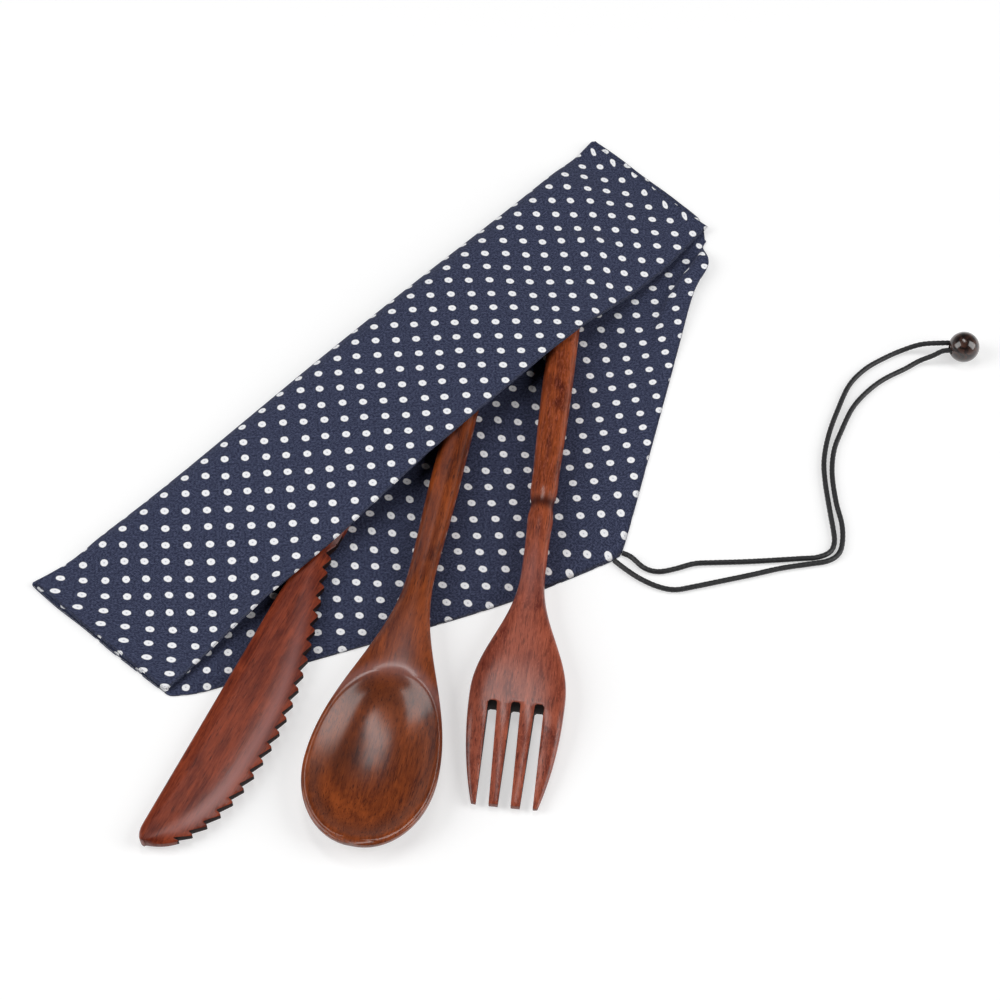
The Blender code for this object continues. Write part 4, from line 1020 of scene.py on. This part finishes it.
def spoon_ring(from_tip):
    """The section: the underside from one edge to the other, then back over the rounded rim."""
    from_end = SPOON_LENGTH - from_tip
    half = spoon_half_width(from_tip)
    low, edge, top, lip = spoon_heights(from_tip)
    half, low, top = drawn_in(from_end, SPOON_HANDLE_WIDTH, half, low, edge, top)
    ring = []
    for k in range(UNDER_POINTS + 1):
        turn = math.pi * k / UNDER_POINTS
        ring.append((-half * math.cos(turn), edge - lip - (edge - lip - low) * math.sin(turn)))
    hollow = hollow_half(from_tip, half)
    for k in range(TOP_POINTS + 1):
        aside = half * math.cos(math.pi * k / TOP_POINTS)
        crown = (top - edge) * math.sqrt(max(1 - (aside / half) ** 2, 0.0))
        over = max(abs(aside) - hollow, 0.0) / max(half - hollow, 1e-6)
        fall = 0.55 * lip * (1 - math.sqrt(max(1 - min(over, 1.0) ** 2, 0.0)))
        ring.append((aside, edge + crown - fall - hollow_depth(from_tip, aside)))
    return [(from_end, aside, height) for aside, height in ring]


def near_hollow(x, y, low, high):
    """How far a point lies between two distances outside the hollow's arc at the neck."""
    from_tip = SPOON_LENGTH - x
    reach = (HOLLOW_END - HOLLOW_DEEPEST) * math.sqrt(max(1 - (y / (BOWL_WIDTH / 2)) ** 2, 0.0))
    past = from_tip - HOLLOW_DEEPEST - reach
    at_the_neck = float(smoothstep((from_tip - 0.040) / 0.010))
    return bell((past - (low + high) / 2) / (high - low)) * at_the_neck


def crest_highlight(x, y, z):
    """Painted highlight: the rounded crest above the hollow, the shoulder behind it and a band along the
    handle are painted pale.
    """
    from_tip = SPOON_LENGTH - x
    shoulder = bell((from_tip - 0.068) / 0.012) * bell(y / 0.007)
    handle = smoothstep((from_tip - 0.085) / 0.02) * bell((y + 0.0012) / 0.0018)
    return min(0.75 * near_hollow(x, y, 0.0004, 0.0030) + 0.30 * shoulder + 0.22 * handle, 1.0)


def bowl_shade(x, y, z):
    """Painted shade down the hollow's left side and round its front, and a painted dark reflection in the
    hollow under the crest.
    """
    from_tip = SPOON_LENGTH - x
    crest = near_hollow(x, y, -0.0100, -0.0020)
    left = bell((y + 0.0095) / 0.0055) * bell((from_tip - 0.030) / 0.010)
    front = bell((math.hypot(y / 0.82, from_tip - BOWL_FRONT) - 0.0195) / 0.0022)
    return min(0.50 * crest + 0.50 * left + 0.30 * front * (from_tip < BOWL_FRONT), 0.8)


def toward_the_end(x, y, z):
    return smoothstep((SPOON_LENGTH - x - 0.095) / 0.050)


HOLLOW_FIELD = hollow_field()
spoon_stations = arc_stations(0.0, BOWL_FRONT, 3.5, 22.5, 12)
spoon_stations += arc_stations(HOLLOW_RIM, BOWL_FRONT - HOLLOW_RIM, 2, 90, 46)
hollow_back = HOLLOW_END - BOWL_FRONT
spoon_stations += [BOWL_FRONT + hollow_back * math.sin(math.radians(a)) for a in np.linspace(0, 90, 50)[1:]]
spoon_stations += list(np.linspace(HOLLOW_END, HANDLE_FROM_TIP, 60))[1:]
spoon_last = SPOON_LENGTH - SPOON_HANDLE_WIDTH / 2
spoon_stations += list(np.linspace(HANDLE_FROM_TIP, spoon_last, 34))[1:-1]
spoon_stations += [SPOON_LENGTH - d for d in reversed(end_stations(SPOON_HANDLE_WIDTH / 2))]
spoon = loft("spoon_wood", [spoon_ring(d) for d in spoon_stations], 50)
outward_faces(spoon)
spoon_wood = lacquered_wood(
    "spoon_lacquer", (0.066, 0.009, 0.002), (0.290, 0.060, 0.011), (0.45, 0.85, 0.21), 5.0, 0.65, 0.35
)
# The crest's pale band is a painted highlight, and the bowl's darker parts are painted shade and a painted
# dark reflection.
finish_wood(spoon, spoon_wood, None, None, pale=crest_highlight, stain=bowl_shade, rich=toward_the_end)
lay_down(spoon, SPOON_LIES, "spoon")

# The fork: one red-brown piece with three slots sawn between four flat tines, a round handle and
# a ring turned in it above the neck.
FORK_LENGTH = 0.2112
FORK_HANDLE_WIDTH = 0.0098
FORK_HANDLE_THICKNESS = 0.0080
FORK_END_THICKNESS = 0.0050
FORK_NECK_WIDTH = 0.0073
FORK_NECK_GROWTH = 0.0750
FORK_HEAD_WIDTH = 0.0284
FORK_HEAD_FRONT = 0.0345
FORK_FLARE = 0.0470
FORK_TINES = 4
SLOT_LENGTH = 0.0312
SLOT_ROOT_WIDTH = 0.0027
SLOT_MOUTH_WIDTH = 0.0038
SLOT_PITCH = 0.0069
RING_FROM_TIP = 0.1037
RING_WIDTH = 0.0060
RING_DEPTH = 0.0004
RING_LIP = 0.0002
FORK_POINTS = 48
SLOT_LEAN = 0.92
FORK_CUT_TO = 0.015
FORK_EDGE_EASE = 0.0002
FORK_HEIGHTS = (
    (0.0000, 0.0012, 0.0021, 0.0030), (0.0150, 0.0018, 0.0038, 0.0056),
    (0.0300, 0.0024, 0.0054, 0.0082), (0.0480, 0.0026, 0.0060, 0.0090),
    (0.0700, 0.0022, 0.0057, 0.0090), (0.0900, 0.0015, 0.0051, 0.0087),
    (0.1180, 0.0013, 0.0051, 0.0089), (0.1400, 0.0013, 0.0053, 0.0093),
)


def ring_groove(from_tip):
    place = (from_tip - RING_FROM_TIP) / (RING_WIDTH / 2)
    return RING_DEPTH * bell(place) - RING_LIP * bell(abs(place) - 2)


def fork_half_width(from_tip):
    neck, wide = FORK_NECK_WIDTH / 2, FORK_HEAD_WIDTH / 2
    if from_tip <= FORK_HEAD_FRONT:
        return wide * (1 - 0.32 * (1 - from_tip / FORK_HEAD_FRONT) ** 2.2)
    past, handle = from_tip - FORK_HEAD_FRONT, FORK_HANDLE_WIDTH / 2
    half = behind_head(past, FORK_FLARE, 2.7, FORK_NECK_GROWTH, wide, neck, handle)
    return half - ring_groove(from_tip) if past >= FORK_FLARE else half


def fork_ring(from_tip):
    from_end = FORK_LENGTH - from_tip
    half = fork_half_width(from_tip)
    low, edge, top = (float(through(FORK_HEIGHTS, from_tip, column)) for column in (1, 2, 3))
    if from_tip > FORK_HEIGHTS[-1][0]:
        low, edge, top = handle_heights(from_end, FORK_HANDLE_THICKNESS, FORK_END_THICKNESS)
    low += max(ring_groove(from_tip), 0.0)
    top -= ring_groove(from_tip)
    half, low, top = drawn_in(from_end, FORK_HANDLE_WIDTH, half, low, edge, top)
    power = 2.2 + 2.0 * (1 - float(smoothstep((from_tip - FORK_HEAD_FRONT) / FORK_FLARE)))
    ring = []
    for k in range(FORK_POINTS):
        turn = 2 * math.pi * (k + 0.5) / FORK_POINTS
        across = math.copysign(abs(math.cos(turn)) ** (2 / power), math.cos(turn))
        up = math.copysign(abs(math.sin(turn)) ** (2 / power), math.sin(turn))
        ring.append((from_end, half * across, edge + up * ((top - edge) if up > 0 else (edge - low))))
    return ring


def slot_outline(index):
    aside = (index - (FORK_TINES - 2) / 2) * SLOT_PITCH
    inward = SLOT_LEAN * aside
    root, mouth = SLOT_ROOT_WIDTH / 2, SLOT_MOUTH_WIDTH / 2
    corners = (
        (SLOT_LENGTH - root * 0.4, aside - root), (SLOT_LENGTH, aside - root * 0.6),
        (SLOT_LENGTH, aside + root * 0.6), (SLOT_LENGTH - root * 0.4, aside + root),
        (CUT_FROM, inward + mouth), (CUT_FROM, inward - mouth),
    )
    return [(FORK_LENGTH - d, v) for d, v in corners]


def in_a_slot(x, y, z):
    from_tip = FORK_LENGTH - x
    middles = [(i - (FORK_TINES - 2) / 2) * SLOT_PITCH for i in range(FORK_TINES - 1)]
    nearest = min(abs(y - middle) for middle in middles)
    return 0.0005 < from_tip < SLOT_LENGTH + 0.0006 and nearest < SLOT_MOUTH_WIDTH / 2 + 0.0005


def ring_and_side_shade(x, y, z):
    """Darker in the turned groove, and painted shade down one side of the head."""
    from_tip = FORK_LENGTH - x
    place = (from_tip - RING_FROM_TIP) / (RING_WIDTH / 2)
    side = bell((y + 0.0125) / 0.0045) * bell((from_tip - 0.032) / 0.018)
    return 0.95 * bell(1.25 * place) + 0.28 * side


def light_grain(x, y, z):
    """Lighter wood in a flame at the neck and down the middle of the head."""
    from_tip = FORK_LENGTH - x
    flame_width = 0.0012 + 0.12 * (0.092 - min(from_tip, 0.090))
    flame = bell((from_tip - 0.078) / 0.012) * bell((y + 0.0006) / flame_width)
    head = bell((from_tip - 0.047) / 0.014) * bell(y / 0.008)
    return 0.55 * flame + 0.16 * head


def on_the_handle(x, y, z):
    """The handle's wood is darker and more orange than the head's."""
    past = FORK_LENGTH - x - FORK_HEAD_FRONT - FORK_FLARE / 2
    return smoothstep(past / (RING_FROM_TIP - FORK_HEAD_FRONT))


fork_stations = list(np.linspace(0, FORK_HEAD_FRONT, 28))
flare_end = FORK_HEAD_FRONT + FORK_FLARE
ring_start, ring_end = RING_FROM_TIP - 1.25 * RING_WIDTH, RING_FROM_TIP + 1.25 * RING_WIDTH
fork_stations += list(np.linspace(FORK_HEAD_FRONT, flare_end, 36))[1:]
fork_stations += list(np.linspace(flare_end, ring_start, 12))[1:-1]
fork_stations += list(np.linspace(ring_start, ring_end, 44))
fork_last = FORK_LENGTH - FORK_HANDLE_WIDTH / 2
fork_stations += list(np.linspace(ring_end, fork_last, 40))[1:-1]
fork_stations += [FORK_LENGTH - d for d in reversed(end_stations(FORK_HANDLE_WIDTH / 2))]
fork = loft("fork_wood", [fork_ring(d) for d in fork_stations])
outward_faces(fork)
slot_cutters = []
for slot_index in range(FORK_TINES - 1):
    outline = slot_outline(slot_index)
    slot_cutters.append(prism(f"slot_cutter_{slot_index}", outline, CUT_FROM, FORK_CUT_TO))
carve(fork, slot_cutters, FORK_EDGE_EASE)
fork_wood = lacquered_wood(
    "fork_lacquer", (0.125, 0.017, 0.008), (0.350, 0.082, 0.042), (0.42, 0.55, 0.20), 9.0, 1.0, 1.0
)
# The slots' walls get painted shade, one side of the head painted shade, and the ring a darker band.
finish_wood(fork, fork_wood, shaded_cut_walls, in_a_slot, pale=light_grain, stain=ring_and_side_shade, rich=on_the_handle)
lay_down(fork, FORK_LIES, "fork")

# The tie: two black waxed cords, braided round, sewn in under the flap's point. They lie side by
# side on the table and end in the bead.
CORD_DIAMETER = 0.0017
CORD_SPACING = 0.0032
CORD_HEIGHT = CORD_DIAMETER / 2 + 0.0001
CORD_SIDES = 24
CORD_STEP = 0.00026
BRAID_PITCH = 0.0030
BRAID_STRANDS = 4
BRAID_RELIEF = 0.16
BEAD_DIAMETER = 0.0100
BEAD_X = 0.1586
BEAD_Y = -0.0693
BEAD_HEIGHT = BEAD_DIAMETER / 2
BORE_DEPTH = 0.0032
BORE_ANGLE = math.radians(133.0)
LOW = CORD_HEIGHT
UPPER_CORD_ROUTE = (
    (0.0235, -0.0406, LOW), (0.0243, -0.0435, LOW), (0.0240, -0.0491, LOW), (0.0259, -0.0532, LOW),
    (0.0303, -0.0563, LOW), (0.0358, -0.0593, LOW), (0.0401, -0.0633, LOW), (0.0465, -0.0696, LOW),
    (0.0527, -0.0754, LOW), (0.0594, -0.0815, LOW), (0.0638, -0.0854, LOW), (0.0681, -0.0870, LOW),
    (0.0717, -0.0857, LOW), (0.0750, -0.0827, LOW), (0.0793, -0.0780, LOW), (0.0878, -0.0690, LOW),
    (0.0946, -0.0631, LOW), (0.1034, -0.0580, LOW), (0.1133, -0.0538, LOW), (0.1232, -0.0504, LOW),
    (0.1318, -0.0500, LOW), (0.1395, -0.0516, LOW), (0.1462, -0.0541, 0.0014), (0.1512, -0.0580, 0.0034),
)
LOWER_CORD_ROUTE = (
    (0.0197, -0.0406, LOW), (0.0197, -0.0451, LOW), (0.0202, -0.0509, LOW), (0.0218, -0.0568, LOW),
    (0.0245, -0.0613, LOW), (0.0294, -0.0648, LOW), (0.0371, -0.0698, LOW), (0.0447, -0.0747, LOW),
    (0.0529, -0.0798, LOW), (0.0602, -0.0852, LOW), (0.0648, -0.0885, LOW), (0.0690, -0.0894, LOW),
    (0.0733, -0.0876, LOW), (0.0786, -0.0832, LOW), (0.0841, -0.0764, LOW), (0.0917, -0.0687, LOW),
    (0.0992, -0.0634, LOW), (0.1066, -0.0603, LOW), (0.1163, -0.0571, LOW), (0.1246, -0.0563, LOW),
    (0.1326, -0.0570, LOW), (0.1411, -0.0594, LOW), (0.1465, -0.0609, 0.0014), (0.1500, -0.0636, 0.0034),
)


def bore_point(from_middle, aside):
    along = (math.cos(BORE_ANGLE), math.sin(BORE_ANGLE))
    return (
        BEAD_X + from_middle * along[0] - aside * along[1],
        BEAD_Y + from_middle * along[1] + aside * along[0],
        BEAD_HEIGHT,
    )


def cord_line(route, side):
    """A fine smooth line through the route and into the bead's bore."""
    floor = BEAD_DIAMETER / 2 - BORE_DEPTH + 2 * PLAY
    aside = side * CORD_SPACING / 2
    route = (*route, bore_point(BEAD_DIAMETER / 2 + CORD_DIAMETER, aside), bore_point(floor, aside))
    points = np.array(route, float)
    points = np.vstack([2 * points[0] - points[1], points, 2 * points[-1] - points[-2]])
    fine = []
    for a, b, c, d in zip(points, points[1:], points[2:], points[3:]):
        t = np.arange(12)[:, None] / 12
        fine.append(0.5 * (2 * b + (c - a) * t + (2 * a - 5 * b + 4 * c - d) * t**2
                           + (3 * b - a - 3 * c + d) * t**3))
    fine = np.vstack(fine + [points[-2:-1]])
    run = np.concatenate([[0.0], np.cumsum(np.linalg.norm(np.diff(fine, axis=0), axis=1))])
    wanted = np.linspace(0.0, run[-1], int(run[-1] / CORD_STEP))
    line = np.stack([np.interp(wanted, run, fine[:, axis]) for axis in range(3)], 1)
    for _ in range(12):
        line[1:-1] = (line[:-2] + 2 * line[1:-1] + line[2:]) / 4
    line[:, 2] = np.maximum(line[:, 2], CORD_HEIGHT)
    return line


def braided_cord(name, line):
    """A round tube whose surface rises and dips as braided strands pass over each other."""
    ahead = unit(np.gradient(line, axis=0))
    across = unit(np.cross(ahead, (0.0, 0.0, 1.0)))
    above = np.cross(across, ahead)
    run = np.concatenate([[0.0], np.cumsum(np.linalg.norm(np.diff(line, axis=0), axis=1))])
    turn = 2 * math.pi * np.arange(CORD_SIDES) / CORD_SIDES
    share = turn[None, :] / (2 * math.pi) * BRAID_STRANDS
    one = share + run[:, None] / BRAID_PITCH * BRAID_STRANDS / 2
    other = share - run[:, None] / BRAID_PITCH * BRAID_STRANDS / 2
    over = (np.floor(one) + np.floor(other)) % 2 == 0
    crown = np.where(over, np.abs(np.sin(math.pi * one)), np.abs(np.sin(math.pi * other)))
    radius = CORD_DIAMETER / 2 * (1.0 - BRAID_RELIEF * (1 - crown))
    rings = line[:, None] + radius[..., None] * (
        np.cos(turn)[None, :, None] * across[:, None] + np.sin(turn)[None, :, None] * above[:, None]
    )
    return loft(name, rings)


def waxed_braid():
    material, tree, shader = new_material("waxed_braid")
    place = node(tree, "ShaderNodeTexCoord").outputs["Object"]
    lint = noise(tree, place, 2600.0, 3.0)
    wax = noise(tree, place, 420.0, 2.0)
    shade = mix_colours(tree, lint, (0.006, 0.006, 0.007, 1.0), (0.028, 0.028, 0.030, 1.0))
    tree.links.new(shade, shader.inputs["Base Color"])
    tree.links.new(maths(tree, "MULTIPLY_ADD", wax, 0.35, 0.28), shader.inputs["Roughness"])
    shader.inputs["Specular IOR Level"].default_value = 0.45
    bump = node(tree, "ShaderNodeBump", {"Height": lint, "Strength": 0.4, "Distance": 0.00006})
    tree.links.new(bump.outputs[0], shader.inputs["Normal"])
    return material


waxed = waxed_braid()
upper_line = cord_line(UPPER_CORD_ROUTE, -1)
lower_line = cord_line(LOWER_CORD_ROUTE, 1)
cord_upper = braided_cord("cord_upper_braid", upper_line)
cord_lower = braided_cord("cord_lower_braid", lower_line)
for cord, cad_node in ((cord_upper, "cord_upper"), (cord_lower, "cord_lower")):
    outward_faces(cord)
    cord.data.materials.append(waxed)
    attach(cord, "root")
    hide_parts(cad_node)

# The bead: turned from dark polished wood, about a centimetre across, with one bore that takes
# the ends of both cords.
BEAD_SEGMENTS = 64
BEAD_RINGS = 40


def bead_body():
    radius = BEAD_DIAMETER / 2
    turns = [2 * math.pi * j / BEAD_SEGMENTS for j in range(BEAD_SEGMENTS)]
    rings = []
    for k in range(1, BEAD_RINGS):
        lift = math.pi * k / BEAD_RINGS - math.pi / 2
        out, height = radius * math.cos(lift), radius * math.sin(lift)
        rings.append([(out * math.cos(turn), out * math.sin(turn), height) for turn in turns])
    return loft("bead_wood", rings)


def bore_cutter():
    half = CORD_DIAMETER / 2 + PLAY
    outline = []
    for k in range(13):
        turn = math.radians(-90 + 15 * k)
        outline.append((CORD_SPACING / 2 + half * math.cos(turn), half * math.sin(turn)))
    outline += [(-x, -y) for x, y in outline]
    bore = prism("bead_bore", outline, 0.0, BEAD_DIAMETER)
    bore.rotation_euler = (math.radians(90), 0.0, BORE_ANGLE + math.radians(90))
    middle = Vector((math.cos(BORE_ANGLE), math.sin(BORE_ANGLE), 0.0))
    bore.location = middle * (BEAD_DIAMETER / 2 - BORE_DEPTH)
    return bore


def polished_dark_wood():
    material, tree, shader = new_material("polished_dark_wood")
    place = node(tree, "ShaderNodeTexCoord").outputs["Object"]
    inputs = {"Vector": place, "Scale": 160.0, "Distortion": 9.0, "Detail": 3.0, "Detail Scale": 2.0}
    rings = node(tree, "ShaderNodeTexWave", inputs, wave_type="RINGS", rings_direction="X").outputs["Fac"]
    cloud = noise(tree, place, 260.0, 3.0)
    shade = maths(tree, "MULTIPLY", rings, cloud)
    colour = mix_colours(tree, shade, (0.008, 0.005, 0.005, 1.0), (0.120, 0.050, 0.034, 1.0))
    tree.links.new(colour, shader.inputs["Base Color"])
    tree.links.new(maths(tree, "MULTIPLY_ADD", cloud, 0.16, 0.12), shader.inputs["Roughness"])
    shader.inputs["Coat Weight"].default_value = 0.6
    shader.inputs["Coat Roughness"].default_value = 0.10
    return material


bead = bead_body()
outward_faces(bead)
bead_bore = bore_cutter()
carve(bead, [bead_bore], 0.0)
bead.location = (BEAD_X, BEAD_Y, BEAD_HEIGHT)
bead.data.materials.append(polished_dark_wood())
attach(bead, "root")
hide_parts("bead")
